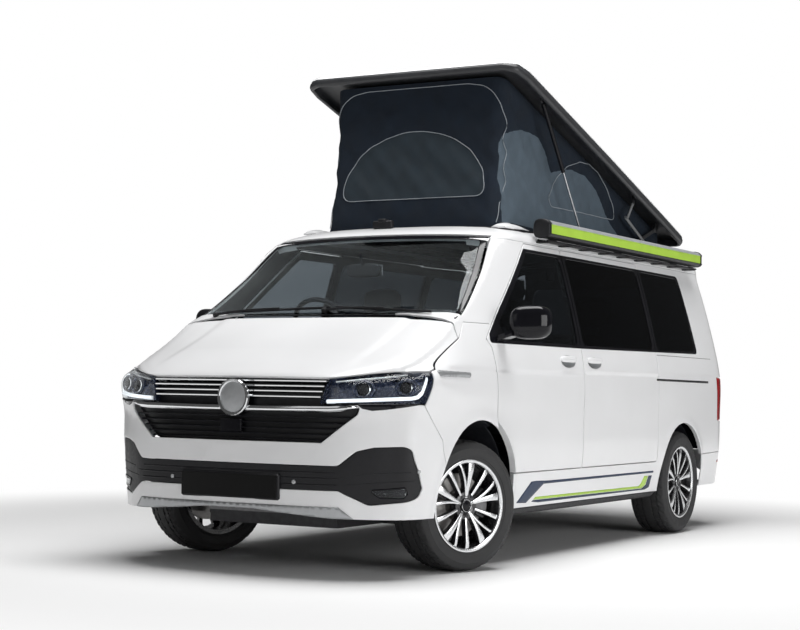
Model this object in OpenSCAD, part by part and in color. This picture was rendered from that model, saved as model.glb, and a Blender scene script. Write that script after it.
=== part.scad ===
/* [Overall] */
// Distance between the front and rear axles
wheelbase = 3000; // [2960:10:3040]
// Front axle to the tip of the front bumper
front_overhang = 908; // [890:2:930]
// Rear axle to the back of the rear bumper
rear_overhang = 996; // [980:2:1020]
// Width over the body sides, without the mirrors
body_width = 1904; // [1880:4:1940]
// Height of the roof skin at the middle
roof_z = 1925; // [1915:5:1935]
// Thickness of the doors and the side walls
wall = 60; // [50:2:66]
// Thickness of a thin skin such as the bonnet
skin = 32; // [24:2:38]
// Width of the gap round a moving panel
shut_gap = 6; // [5:0.5:8]
// Joint line between two fixed panels
seam = 0.4; // [0.2:0.1:0.8]
// Thickness of the glass
glass = 6; // [4:1:8]

/* [Wheels] */
// Outer radius of a tyre
tyre_r = 343; // [335:1:350]
// Width of a tyre
tyre_w = 255; // [235:5:265]
// Distance between the left and right tyre centres
track = 1628; // [1600:4:1640]
// Radius of the rim at the tyre bead
rim_r = 229; // [220:1:234]
// Number of twin spokes in a rim
spokes = 5; // [5:1:6]
// Bolt circle of the wheel bolts
bolt_pcd = 120; // [110:2:130]
// Angle that the front wheels are turned to the right, as parked
parked_steer = 20; // [0:1:22]
// Radius of the front wheel arch
front_arch_r = 425; // [415:1:432]
// Radius of the rear wheel arch
rear_arch_r = 398; // [385:1:405]

/* [Doors] */
// Top of the sill, under the doors
sill_z = 497; // [480:1:510]
// Foot of the side windows
belt_z = 1218; // [1205:1:1230]
// Top of the side windows
window_top_z = 1738; // [1725:1:1745]
// Leading edge of a front door, behind the front axle
door_front = 197; // [190:1:205]
// Rear edge of a front door, behind the front axle
door_rear = 1329; // [1320:1:1340]
// Rear edge of the sliding door, ahead of the rear axle
slide_rear = 466; // [455:1:480]
// Radius of the hinge pins
pin_r = 4; // [3:0.5:5]

/* [Pop-top] */
// Length of the lid
lid_length = 2890; // [2860:10:2910]
// Width of the lid
lid_width = 1470; // [1450:10:1480]
// Depth of the lid at its rim
lid_rim = 72; // [66:1:80]
// Height of the closed lid above the ground
closed_z = 1990; // [1988:1:2000]
// Slope of the open lid
lid_angle = 16.3; // [14:0.1:17]
// Lift of the arms that carry the lid
arm_angle = 18.5; // [17:0.1:19]
// Length of those arms between the pins
arm_length = 566; // [550:2:580]
// Distance of the fabric walls in from the edge of the lid
bellows_inset = 150; // [140:2:160]

/* [Awning] */
// Length of the awning case
awning_length = 2525; // [2400:5:2550]
// Width and height of the awning case
awning_box = 94; // [86:1:98]

/* [Hidden] */
$fn = 48;
eps = 0.02;
half_w = body_width / 2;
length = front_overhang + wheelbase + rear_overhang;
fa = length / 2 - front_overhang;
ra = fa - wheelbase;
axle_z = tyre_r;
belly_z = 296;
floor_t = 30;
seat_z = belly_z + floor_t + seam;
far = 3000;

// Body sections, front to rear. All insets are measured in from the body's half width.
// Columns: x, z of the lower edge, inset of the lower edge, inset of the side,
// z of the upper edge, inset of the upper edge, z at the middle, squareness of the crown.
SX = 0; SZB = 1; SIB = 2; SIS = 3; SZE = 4; SIE = 5; SZT = 6; SN = 7;
stations = [
    [fa + front_overhang, 336, 820, 780, 600, 800, 660, 2.4],
    [fa + front_overhang - 14, 318, 600, 545, 770, 590, 820, 2.4],
    [fa + front_overhang - 32, 308, 470, 415, 890, 470, 940, 2.4],
    [fa + front_overhang - 58, 302, 372, 325, 965, 376, 1003, 2.4],
    [fa + front_overhang - 108, 300, 276, 236, 990, 296, 1040, 2.5],
    [fa + front_overhang - 185, 298, 168, 136, 1008, 200, 1078, 2.6],
    [fa + front_overhang - 285, 297, 82, 40, 1028, 120, 1117, 2.7],
    [fa + front_overhang - 430, 296, 50, 8, 1078, 88, 1172, 2.9],
    [fa + 250, 296, 47, 0, 1196, 80, 1270, 3.5],
    [fa + 156, 296, 45, 0, 1262, 82, 1320, 3.8],
    [fa + 20, 296, 45, 0, 1320, 94, 1408, 3.0],
    [fa - 270, 296, 45, 0, 1500, 130, 1632, 2.6],
    [fa - 610, 296, 45, 0, 1766, 176, 1866, 2.8],
    [fa - 800, 296, 45, 0, 1788, 177, roof_z - 22, 3.0],
    [0, 296, 45, 0, 1795, 175, roof_z, 3.2],
    [ra + 100, 296, 45, 0, 1792, 177, roof_z - 4, 3.4],
    [ra - rear_overhang + 300, 298, 47, 8, 1782, 187, roof_z - 16, 3.8],
    [ra - rear_overhang + 170, 306, 70, 36, 1756, 222, roof_z - 40, 4.2],
    [ra - rear_overhang + 92, 330, 120, 88, 1640, 256, 1790, 4.2],
    [ra - rear_overhang + 40, 360, 190, 168, 1160, 240, 1300, 4.2],
    [ra - rear_overhang, 430, 330, 300, 640, 340, 700, 4.2]];
nose_rows = 3;
tail_rows = 1;

// Half outline of a section, in by the distance t.
function shoulder(s) = min(1050, s[SZE] - 24);
function flank(s, t) = [for (k = [0 : 0.2 : 1])
    let (zs = shoulder(s), wi = half_w - s[SIS], we = half_w - s[SIE])
    [wi - (wi - we) * pow(k, 1.25) - t, zs + (s[SZE] - zs) * k - t * k]];
function crown(s, t) = [for (a = [12, 26, 42, 60, 78])
    [(half_w - s[SIE] - t) * pow(cos(a), 2 / s[SN]),
     s[SZE] - t + (s[SZT] - s[SZE]) * pow(sin(a), 2 / s[SN])]];
function half_section(s, t, drop) = concat(
    [[half_w - s[SIB] - t, s[SZB] - drop],
     [half_w - s[SIS] - t - 6, min(540, (s[SZB] + s[SZE]) / 2) ],
     [half_w - s[SIS] - t, min(780, (s[SZB] + 2 * s[SZE]) / 3) ]],
    flank(s, t), crown(s, t));
function mirror_y(pts) = [for (i = [len(pts) - 1 : -1 : 0]) [-pts[i][0], pts[i][1]]];
function section(s, t, drop) =
    let (h = half_section(s, t, drop)) concat(h, [[0, s[SZT] - t]], mirror_y(h));

function ring(s, t, drop) = [for (p = section(s, t, drop)) [s[SX], p[0], p[1]]];

// Loft through the sections from row a to row b.
module loft(t, drop, a, b) {
    for (i = [a : b - 1]) {
        front = ring(stations[i], t, drop);
        back = ring(stations[i + 1], t, drop);
        n = len(front);
        hull()
            polyhedron(points = concat(front, back),
                faces = [[for (k = [0 : n - 1]) k], [for (k = [n - 1 : -1 : 0]) n + k]]);
    }
}

module body_outer(t = 0) {
    loft(t, 0, 0, len(stations) - 1);
}

// Skin of the body between the depths t0 and t.
module shell(t, t0 = 0) {
    difference() {
        body_outer(t0);
        loft(t, 400, nose_rows, len(stations) - 1 - tail_rows);
    }
}

// Prisms from a side view (x, z), a front view (y, z) and a plan (x, y).
module side_prism(y0, y1) {
    translate([0, y1, 0])
        rotate([90, 0, 0])
            linear_extrude(y1 - y0)
                children();
}

module front_prism(x0, x1) {
    translate([x0, 0, 0])
        rotate([90, 0, 90])
            linear_extrude(x1 - x0)
                children();
}

module plan_prism(z0, z1) {
    translate([0, 0, z0])
        linear_extrude(z1 - z0)
            children();
}

module both_sides() {
    children();
    mirror([0, 1, 0])
        children();
}

module rounded(r) {
    offset(r, $fn = 24)
        offset(-r)
            children();
}

module y_cylinder(r, y0, y1) {
    translate([0, y1, 0])
        rotate([90, 0, 0])
            cylinder(r = r, h = y1 - y0);
}

// Lines that the panels share.
arch_z = axle_z + 20;
door_x1 = fa - door_front;
door_x0 = fa - door_rear;
slide_x0 = ra + slide_rear;
rail_z = 1786;
pillar_lean = 0.80;
pillar_foot = fa - 136;
windscreen_top_z = 1812;
windscreen_foot_z = belt_z + 82;
windscreen_foot_x = fa + 124;
bonnet_rear_x = fa + 162;
lamp_split_z = 996;
lamp_split_outer_z = 1036;
bumper_top_z = 862;
tailgate_x = ra - rear_overhang + 172;
tailgate_z = 556;
quarter_glass_x = ra - 290;
arch_y = 445;

function pillar_x(z) = pillar_foot - (z - belt_z) / pillar_lean;

// Outlines of the openings, in the side view.
module front_door_outline(lift = 0) {
    difference() {
        polygon([[door_x0, sill_z], [door_x1, sill_z], [door_x1, 800], [door_x1 + 24, belt_z - 40],
            [pillar_x(belt_z), belt_z], [pillar_x(rail_z), rail_z], [door_x0, rail_z]]);
        translate([fa, arch_z])
            circle(front_arch_r + 26 + lift);
    }
}

module sliding_door_outline() {
    polygon([[slide_x0, sill_z], [door_x0 - shut_gap, sill_z], [door_x0 - shut_gap, rail_z],
        [slide_x0, rail_z]]);
}

module front_window_outline() {
    rounded(28)
        polygon([[door_x0 + 36, belt_z], [mirror_x - 40, belt_z], [pillar_x(belt_z + 96) - 66, belt_z + 96],
            [pillar_x(window_top_z) - 66, window_top_z], [door_x0 + 36, window_top_z]]);
}

module middle_window_outline() {
    rounded(40)
        polygon([[slide_x0 + 44, belt_z], [door_x0 - shut_gap - 36, belt_z],
            [door_x0 - shut_gap - 36, window_top_z], [slide_x0 + 44, window_top_z]]);
}

module rear_window_outline() {
    rounded(48)
        polygon([[quarter_glass_x, belt_z + 10], [slide_x0 - 36, belt_z],
            [slide_x0 - 36, window_top_z], [quarter_glass_x + 36, window_top_z - 6]]);
}

module windscreen_outline() {
    polygon([[-half_w + 92, windscreen_foot_z], [half_w - 92, windscreen_foot_z],
        [half_w - 248, windscreen_top_z], [0, windscreen_top_z + 20], [-half_w + 248, windscreen_top_z]]);
}

module tailgate_outline() {
    polygon([[-half_w + 150, tailgate_z], [half_w - 150, tailgate_z], [half_w - 150, 1060],
        [half_w - 280, 1780], [half_w - 300, far], [-half_w + 300, far], [-half_w + 280, 1780],
        [-half_w + 150, 1060]]);
}

module rear_window_hole() {
    rounded(60)
        polygon([[-half_w + 250, belt_z], [half_w - 250, belt_z], [half_w - 350, window_top_z - 20],
            [-half_w + 350, window_top_z - 20]]);
}

module bonnet_edge() {
    polygon([[-far, lamp_split_outer_z + 40], [-half_w + 90, lamp_split_outer_z], [-540, lamp_split_z],
        [540, lamp_split_z], [half_w - 90, lamp_split_outer_z], [far, lamp_split_outer_z + 40],
        [far, far], [-far, far]]);
}

module lamp_outline() {
    polygon([[540, lamp_split_z - shut_gap], [506, bumper_top_z + 6], [far, bumper_top_z + 30],
        [far, lamp_split_outer_z + 34], [half_w - 90, lamp_split_outer_z - shut_gap]]);
}

module grille_outline() {
    polygon([[-538, lamp_split_z - shut_gap], [-504, bumper_top_z + 4], [-706, 856], [-690, 815],
        [-521, 677], [521, 677], [690, 815], [706, 856], [504, bumper_top_z + 4],
        [538, lamp_split_z - shut_gap]]);
}

module trim_half() {
    polygon([[-eps, 442], [606, 442], [735, 372], [half_w - 22, 392], [half_w, 455], [half_w, 540],
        [half_w - 17, 645], [half_w - 52, 660], [760, 655], [690, 636], [606, 562], [-eps, 562]]);
}

module trim_outline() {
    trim_half();
    mirror([1, 0])
        trim_half();
}

module bumper_side() {
    polygon([[fa + 300, 200], [far, 200], [far, bumper_top_z], [fa + 596, bumper_top_z + 14], [fa + 410, 690]]);
}

module lamp_side() {
    polygon([[fa + 512, lamp_split_outer_z + 60], [fa + 590, bumper_top_z - 20], [far, bumper_top_z - 20],
        [far, lamp_split_outer_z + 60]]);
}

// Cylinders that open the wheel arches.
module arch_cut(grow = 0) {
    translate([fa, 0, arch_z])
        both_sides()
            y_cylinder(front_arch_r + grow, arch_y, half_w + 60);
    translate([ra, 0, axle_z])
        both_sides()
            y_cylinder(rear_arch_r + grow, arch_y, half_w + 60);
}

module bonnet_zone(grow) {
    intersection() {
        side_prism(-far, far)
            offset(delta = grow)
                polygon([[bonnet_rear_x, belt_z - 6], [fa + 492, lamp_split_outer_z + 16],
                    [fa + 540, lamp_split_outer_z], [far, 930], [far, 1500], [bonnet_rear_x, 1500]]);
        front_prism(fa, far)
            offset(delta = grow)
                bonnet_edge();
    }
}

module lamp_zone(grow) {
    both_sides()
        intersection() {
            front_prism(fa, far)
                offset(delta = grow)
                    lamp_outline();
            side_prism(400, half_w + 60)
                offset(delta = grow)
                    lamp_side();
        }
}

// Fixed side of the body: sill, pillars, rail over the doors and rear quarter.
module body_side() {
    difference() {
        intersection() {
            shell(wall);
            side_prism(300, half_w + 60)
                polygon([[-far, belly_z - 10], [door_x1 - 10, belly_z - 10], [door_x1 - 10, belt_z + 8],
                    [windscreen_foot_x, belt_z + 8], [windscreen_foot_x, rail_z + 10], [-far, rail_z + 10]]);
        }
        side_prism(300, half_w + 60) {
            offset(delta = shut_gap)
                front_door_outline();
            rear_window_outline();
        }
        arch_cut();
        front_prism(fa - 900, far)
            offset(delta = seam)
                windscreen_outline();
        front_prism(-far, ra - 500)
            offset(delta = shut_gap + 2)
                tailgate_outline();
        rear_corner_zone(seam);
        children();
    }
}

// Rear corners that the lamps and the bumper take.
module lamp_rear_side() {
    polygon([[-far, 750], [ra - rear_overhang + 300, 750], [ra - rear_overhang + 330, 1056], [-far, 1056]]);
}

module bumper_rear_side() {
    polygon([[-far, 200], [ra - 300, 200], [ra - 360, 520], [-far, 545]]);
}

module rear_corner_zone(grow) {
    side_prism(-far, far) {
        offset(delta = grow)
            bumper_rear_side();
        offset(delta = grow)
            lamp_rear_side();
    }
}

module body_side_left() {
    color("white")
        body_side()
            side_prism(300, half_w + 60)
                offset(delta = seam)
                    sliding_door_outline();
}

module body_side_right() {
    color("white")
        mirror([0, 1, 0])
            body_side()
                side_prism(300, half_w + 60)
                    middle_window_outline();
}

module roof_panel() {
    color("white")
        difference() {
            intersection() {
                shell(70);
                side_prism(-far, far)
                    polygon([[tailgate_x + shut_gap + 7, rail_z + 10 + seam], [fa + 100, rail_z + 10 + seam],
                        [fa + 100, far], [tailgate_x + shut_gap + 7, far]]);
            }
            front_prism(fa - 900, far)
                offset(delta = seam)
                    windscreen_outline();
            lid_recess();
            hinge_slots(0);
        }
}

module fenders() {
    color("white")
        difference() {
            intersection() {
                shell(skin);
                side_prism(-far, far)
                    polygon([[door_x1 + shut_gap + 4, 480], [fa + 596, 480], [fa + 596, lamp_split_outer_z + 10],
                        [bonnet_rear_x, belt_z + 40], [windscreen_foot_x + seam, belt_z + 40],
                        [windscreen_foot_x + seam, belt_z + 8 - seam], [fa - 120 - seam, belt_z + 8 - seam],
                        [door_x1 + 24 + shut_gap + 4, belt_z - 40], [door_x1 + shut_gap + 4, 800]]);
            }
            bonnet_zone(shut_gap);
            lamp_zone(seam);
            side_prism(-far, far)
                offset(delta = seam)
                    bumper_side();
            arch_cut();
            plan_prism(0, far)
                translate([0, -half_w + 400])
                    square([far, 2 * half_w - 800]);
        }
}

module front_bumper() {
    color("white")
        difference() {
            intersection() {
                shell(wall);
                side_prism(-far, far)
                    bumper_side();
            }
            lamp_zone(seam);
            front_prism(fa, far)
                offset(delta = seam) {
                    grille_outline();
                    trim_outline();
                }
            arch_cut();
        }
}

module bumper_trim() {
    color([0.08, 0.08, 0.09])
        difference() {
            intersection() {
                shell(wall, 4);
                side_prism(-far, far)
                    bumper_side();
                front_prism(fa, far)
                    trim_outline();
            }
            arch_cut(6);
        }
}

// Grille with its bars in front of a closed back, upper rows over lower rows.
bar_rows = [978, 953, 927, 900];
low_rows = [798, 770, 742, 714, 688];
bar_h = 11;
low_bar_h = 6;
module grille() {
    color([0.1, 0.1, 0.11])
        intersection() {
            front_prism(fa, far)
                grille_outline();
            union() {
                shell(wall, 42);
                intersection() {
                    shell(wall, 6);
                    union() {
                        for (z = bar_rows)
                            translate([fa, -far / 2, z - bar_h / 2])
                                cube([far, far, bar_h]);
                        for (z = low_rows)
                            translate([fa, -far / 2, z - low_bar_h / 2])
                                cube([far, far, low_bar_h]);
                        translate([fa, -far / 2, 822])
                            cube([far, far, 36]);
                    }
                }
            }
        }
}

module headlamps() {
    color([0.75, 0.8, 0.85])
        difference() {
            intersection() {
                shell(wall);
                lamp_zone(0);
            }
            bonnet_zone(shut_gap);
        }
}

module bonnet() {
    color("white") {
        difference() {
            intersection() {
                shell(skin);
                bonnet_zone(0);
            }
        }
        both_sides()
            bonnet_arm();
    }
}

module windscreen() {
    color([0.2, 0.25, 0.28, 0.5])
        intersection() {
            shell(glass + 2, 2);
            front_prism(fa - 900, windscreen_foot_x)
                windscreen_outline();
        }
}

module sliding_door() {
    color("white")
        difference() {
            intersection() {
                shell(wall);
                side_prism(300, half_w + 60)
                    sliding_door_outline();
            }
            side_prism(300, half_w + 60)
                middle_window_outline();
        }
}

module pane() {
    intersection() {
        shell(12 + glass, 12);
        side_prism(300, half_w + 60)
            offset(delta = -seam)
                children();
    }
}

module side_glass() {
    color([0.1, 0.12, 0.13, 0.7]) {
        pane()
            middle_window_outline();
        pane()
            rear_window_outline();
        mirror([0, 1, 0]) {
            pane()
                middle_window_outline();
            pane()
                rear_window_outline();
        }
    }
}

// Door hinge: its axis is upright, close behind the skin at the leading edge.
hinge_in = 12;
hinge_x = door_x1 - hinge_in;
hinge_y = half_w - hinge_in;
hinge_rows = [850, 1010];
hinge_h = 36;

module front_door() {
    difference() {
        intersection() {
            shell(wall);
            side_prism(300, half_w + 60)
                front_door_outline(5);
        }
        side_prism(300, half_w + 60)
            front_window_outline();
        for (z = hinge_rows) {
            translate([hinge_x, hinge_y, z - hinge_h])
                cylinder(r = pin_r + 0.5, h = 2 * hinge_h, $fn = 32);
            translate([hinge_x - 22, half_w - wall - 20, z - hinge_h / 2 - 1])
                cube([60, wall + 20 - 4, hinge_h + 2]);
        }
    }
    mirror_shell();
}

mirror_x = fa - 296;
mirror_z = 1222;
module mirror_shell() {
    hull() {
        translate([mirror_x, half_w + 60, mirror_z + 90])
            scale([0.55, 0.5, 1])
                sphere(r = 92, $fn = 16);
        translate([mirror_x - 40, half_w + 146, mirror_z + 96])
            scale([0.5, 0.6, 1])
                sphere(r = 84, $fn = 16);
    }
    translate([mirror_x + 4, half_w - wall, mirror_z + 8])
        cube([50, wall + 50, 28]);
}

module front_door_left() {
    color("white")
        front_door();
}

module front_door_right() {
    color("white")
        mirror([0, 1, 0])
            front_door();
}

module door_glass_left() {
    color([0.2, 0.25, 0.28, 0.5])
        pane()
            front_window_outline();
}

module door_glass_right() {
    color([0.2, 0.25, 0.28, 0.5])
        mirror([0, 1, 0])
            pane()
                front_window_outline();
}

module tailgate() {
    color("white")
        difference() {
            intersection() {
                shell(wall);
                front_prism(-far, tailgate_x)
                    tailgate_outline();
                side_prism(-far, far)
                    polygon([[-far, tailgate_z], [tailgate_x, tailgate_z], [tailgate_x, far], [-far, far]]);
            }
            front_prism(-far, tailgate_x)
                rear_window_hole();
            hinge_slots(1);
        }
}

module tailgate_glass() {
    color([0.1, 0.12, 0.13, 0.7])
        intersection() {
            shell(14 + glass, 14);
            front_prism(-far, tailgate_x)
                offset(delta = -seam)
                    rear_window_hole();
        }
}

module tail_lamps() {
    color([0.7, 0.05, 0.05])
        difference() {
            intersection() {
                shell(wall);
                side_prism(-far, far)
                    lamp_rear_side();
            }
            front_prism(-far, ra)
                offset(delta = shut_gap + 2)
                    tailgate_outline();
        }
}

module rear_bumper() {
    color("white")
        difference() {
            intersection() {
                shell(wall);
                side_prism(-far, far)
                    bumper_rear_side();
            }
            arch_cut();
        }
}

// Floor with the wheel houses and the front bulkhead.
bulkhead_x = fa - 40;
house_t = 6;
floor_half = half_w - wall - 21 - seam;
floor_rear_x = ra - rear_overhang + 300;
module floor_pan() {
    color([0.2, 0.2, 0.21]) {
        difference() {
            union() {
                plan_prism(belly_z, belly_z + floor_t)
                    polygon([[floor_rear_x, -floor_half + 8], [ra + 100, -floor_half], [fa - 434, -floor_half],
                        [fa - 434, floor_half], [ra + 100, floor_half], [floor_rear_x, floor_half - 8]]);
                translate([fa - 440, -arch_y + 2, belly_z])
                    cube([440 - 40 + 15, 2 * arch_y - 4, floor_t]);
                translate([bulkhead_x, -arch_y + 2, belly_z])
                    cube([15, 2 * arch_y - 4, 900]);
                translate([bulkhead_x, -half_w + 180, 810])
                    cube([15, 2 * half_w - 360, 386]);
                wheel_house(fa, arch_z, front_arch_r + 1);
                wheel_house(ra, axle_z, rear_arch_r + 1);
            }
            both_sides() {
                translate([fa, 0, arch_z])
                    y_cylinder(front_arch_r + 1, arch_y, half_w);
                translate([ra, 0, axle_z])
                    y_cylinder(rear_arch_r + 1, arch_y, half_w);
            }
        }
    }
}

// Wheel house: it follows the lean of the side wall, and the front one reaches out to the fender.
module wheel_house(x, z, r) {
    both_sides()
        intersection() {
            translate([x, 0, z])
                y_cylinder(r + house_t, arch_y - house_t, half_w);
            union() {
                front_prism(x - r - house_t, x + r + house_t)
                    polygon([[arch_y - house_t, belly_z], [floor_half - 8, belly_z], [floor_half + 6, 540],
                        [floor_half + 12, 780], [floor_half + 12, far], [arch_y - house_t, far]]);
                if (x > 0)
                    translate([door_x1 + 20, arch_y, 640])
                        cube([fa + 380 - door_x1 - 20, half_w - skin - 9 - arch_y, far]);
            }
        }
}

module dashboard() {
    color([0.12, 0.12, 0.13])
        difference() {
            side_prism(-half_w + 190, half_w - 190)
                polygon([[bulkhead_x - seam, 820], [bulkhead_x - seam, 1180], [bulkhead_x - 120, 1196],
                    [bulkhead_x - 420, 1120], [bulkhead_x - 450, 1040], [bulkhead_x - 380, 860]]);
            for (y = [-380, 380])
                translate([bulkhead_x - 380, y - 200, 700])
                    cube([380 - 40, 400, 250]);
            at_steering()
                translate([0, 0, -column_l - seam])
                    cylinder(r = column_r + seam, h = column_l);
        }
}

wheel_tilt = 28;
steer_x = bulkhead_x - 520;
steer_y = -380;
steer_z = 1090;
column_l = 118;
column_r = 24;
module at_steering() {
    translate([steer_x, steer_y, steer_z])
        rotate([0, wheel_tilt - 90, 0])
            children();
}

module steering_wheel() {
    color([0.1, 0.1, 0.1])
        at_steering() {
            rotate_extrude()
                translate([180, 0])
                    circle(15);
            cylinder(r = 62, h = 40, center = true);
            translate([-180, -16, -9])
                cube([360, 32, 18]);
            translate([0, 0, -column_l])
                cylinder(r = column_r, h = column_l);
        }
}

// Seats: cushion, back and head rest in one outline.
seat_pitch = 760;
module seat(width) {
    side_prism(-width / 2, width / 2)
        polygon([[-260, seat_z], [240, seat_z], [250, 700], [270, 790], [-160, 770], [-330, 1370], [-360, 1560],
            [-450, 1560], [-440, 1360], [-330, 740], [-300, 700]]);
}

module seats() {
    color([0.3, 0.31, 0.33]) {
        for (y = [-seat_pitch / 2, seat_pitch / 2])
            translate([fa - 830, y, 0])
                seat(500);
        translate([ra + 870, 200, 0])
            seat(1120);
    }
}

module kitchen_unit() {
    color([0.6, 0.6, 0.58])
        difference() {
            translate([ra + 840, -half_w + 80, seat_z])
                cube([850, 330, 760]);
            for (i = [0 : 1])
                translate([ra + 870 + i * 410, -half_w + 80 + 310, seat_z + 60])
                    cube([370, 40, 620]);
        }
}

module engine_block() {
    color([0.3, 0.3, 0.32])
        difference() {
            translate([fa + 130, -340, belly_z + seam])
                cube([480, 680, 600]);
            for (i = [0 : 3])
                translate([fa + 200 + i * 110, 0, belly_z + 590])
                    cylinder(r = 34, h = 60);
        }
}

// Front cross member with lower arms, fuel tank, exhaust and jack pads.
kingpin_y = track / 2 - 64;
arm_z = 222;
jack_x = [fa - 620, ra + 580];
jack_y = half_w - 172;
jack_h = 22;
module underbody() {
    color([0.16, 0.16, 0.17]) {
        both_sides()
            for (x = jack_x)
                translate([x - 45, jack_y - 30, belly_z - jack_h])
                    cube([90, 60, jack_h - seam]);
        translate([fa - 120, -400, belly_z - 70])
            cube([640, 800, 70 - seam]);
        both_sides() {
            translate([fa - 30, 380, arm_z])
                cube([60, kingpin_y - 380, 26]);
            translate([fa, kingpin_y, arm_z])
                cylinder(r = 30, h = 26);
        }
        translate([ra + 620, -120, belly_z - 90])
            cube([900, 620, 90 - seam]);
        translate([ra + 700, -420, belly_z - 130])
            rotate([0, 90, 0])
                cylinder(r = 90, h = 700);
        translate([ra + 690, -420, belly_z - 130])
            rotate([0, 90, 0])
                cylinder(r = 30, h = 900);
        translate([ra + 1040, -440, belly_z - 60])
            cube([40, 40, 60 - seam]);
    }
}

// Wheels: hub face offset and spoke layout.
hub_offset = 50;
hub_r = 28.4;
spindle_r = 34;
disc_r = 165;

module rear_axle() {
    color([0.16, 0.16, 0.17])
        translate([ra, 0, 0]) {
            translate([0, 0, axle_z])
                both_sides() {
                    y_cylinder(70, track / 2 - 50, track / 2 - 4);
                    y_cylinder(hub_r, track / 2 - 50, track / 2 + hub_offset + 24);
                    translate([0, 0, 0])
                        y_cylinder(spindle_r, track / 2 - 4 - eps, track / 2 + hub_offset - seam);
                }
            translate([-40, -track / 2 + 40, axle_z - 130])
                cube([80, track - 80, 70]);
            both_sides() {
                translate([-40, track / 2 - 110, axle_z - 130])
                    cube([80, 60 + eps, 150]);
                translate([30, 370, axle_z - 125])
                    cube([480, 60, 50]);
                translate([430, 370, axle_z - 125])
                    cube([80, 60, belly_z - axle_z + 125 - seam]);
            }
        }
}

// Steering knuckle in the straight-ahead position about its own kingpin.
module knuckle() {
    translate([0, 0, axle_z]) {
        y_cylinder(62, -30, 6);
        y_cylinder(hub_r, -30, track / 2 - kingpin_y + hub_offset + 24);
        y_cylinder(spindle_r, 0, track / 2 - kingpin_y + hub_offset - seam);
        translate([-22, -30, arm_z + 26 + seam - axle_z])
            cube([44, 30, axle_z - arm_z - 26 - seam]);
        translate([-24, -30, 0])
            cube([48, 30, 190]);
        translate([-20, -200, -20])
            cube([40, 172, 30]);
    }
}

module at_kingpin() {
    translate([fa, kingpin_y, 0])
        rotate([0, 0, -parked_steer])
            children();
}

module at_kingpin_right() {
    translate([fa, -kingpin_y, 0])
        rotate([0, 0, -parked_steer])
            mirror([0, 1, 0])
                children();
}

module knuckle_left() {
    color([0.25, 0.25, 0.26])
        at_kingpin()
            knuckle();
}

module knuckle_right() {
    color([0.25, 0.25, 0.26])
        at_kingpin_right()
            knuckle();
}

// Tyre section: bead, bulged side wall and flat crown. Half of it, outer side first.
bead_w = tyre_w - 38;
flange_h = 12;
wall_h = tyre_r - rim_r;
module tyre() {
    translate([0, 0, axle_z])
        rotate([-90, 0, 0])
            rotate_extrude()
                polygon([[rim_r + seam, -bead_w / 2], [rim_r + flange_h + 2, -bead_w / 2],
                    [rim_r + wall_h * 0.45, -tyre_w / 2], [rim_r + wall_h * 0.62, -tyre_w / 2 + 3],
                    [tyre_r - 18, -tyre_w / 2 + 16], [tyre_r - 4, -tyre_w / 2 + 40], [tyre_r, 0], [tyre_r - 4, tyre_w / 2 - 40],
                    [tyre_r - 18, tyre_w / 2 - 16], [rim_r + wall_h * 0.62, tyre_w / 2 - 3],
                    [rim_r + wall_h * 0.45, tyre_w / 2], [rim_r + flange_h + 2, bead_w / 2],
                    [rim_r + seam, bead_w / 2]]);
}

// Rim: barrel, spoke plate with twin and single spokes, hub with bolt holes, brake disc.
spoke_t = 34;
face_y = tyre_w / 2 - 16;
barrel_t = 11;
twin_spread = 15;
module spoke_plate() {
    difference() {
        union() {
            difference() {
                circle(rim_r - 2);
                circle(rim_r - 20);
            }
            circle(78);
            for (i = [0 : spokes - 1])
                rotate(i * 360 / spokes + 90) {
                    for (s = [-1, 1])
                        rotate(s * twin_spread / 2)
                            translate([60, -9])
                                square([rim_r - 72, 18]);
                    rotate(180 / spokes)
                        translate([60, -6])
                            square([rim_r - 72, 12]);
                }
        }
        circle(hub_r + 0.1);
        for (i = [0 : 4])
            rotate(i * 72 + 54)
                translate([bolt_pcd / 2, 0])
                    circle(7.5);
    }
}

module rim() {
    translate([0, 0, axle_z])
        rotate([-90, 0, 0]) {
            translate([0, 0, face_y - spoke_t])
                linear_extrude(spoke_t)
                    mirror([0, 1])
                        spoke_plate();
            rotate_extrude()
                polygon([[rim_r, -bead_w / 2], [rim_r, bead_w / 2], [rim_r + flange_h, bead_w / 2 + 0.5],
                    [rim_r + flange_h, bead_w / 2 + 9], [rim_r - barrel_t, bead_w / 2 + 9],
                    [rim_r - barrel_t, -bead_w / 2 - 9], [rim_r + flange_h, -bead_w / 2 - 9],
                    [rim_r + flange_h, -bead_w / 2 - 0.5]]);
            translate([0, 0, hub_offset])
                linear_extrude(face_y - spoke_t - hub_offset + eps)
                    difference() {
                        circle(78);
                        circle(hub_r + 0.1);
                        for (i = [0 : 4])
                            rotate(i * 72 - 54)
                                translate([bolt_pcd / 2, 0])
                                    circle(7.5);
                    }
            difference() {
                union() {
                    translate([0, 0, 8])
                        cylinder(r = disc_r, h = 24);
                    translate([0, 0, 8])
                        cylinder(r = 78, h = hub_offset - 8);
                }
                cylinder(r = spindle_r + 4, h = hub_offset + 1);
            }
        }
}

module wheel_place(axle, side) {
    if (axle == "front") {
        if (side > 0)
            at_kingpin()
                translate([0, track / 2 - kingpin_y, 0])
                    children();
        else
            at_kingpin_right()
                translate([0, track / 2 - kingpin_y, 0])
                    children();
    } else {
        translate([ra, 0, 0])
            mirror([0, side > 0 ? 0 : 1, 0])
                translate([0, track / 2, 0])
                    children();
    }
}

module tyre_at(axle, side) {
    color([0.06, 0.06, 0.06])
        wheel_place(axle, side)
            tyre();
}

module rim_at(axle, side) {
    color([0.6, 0.6, 0.62])
        wheel_place(axle, side)
            rim();
}

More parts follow.
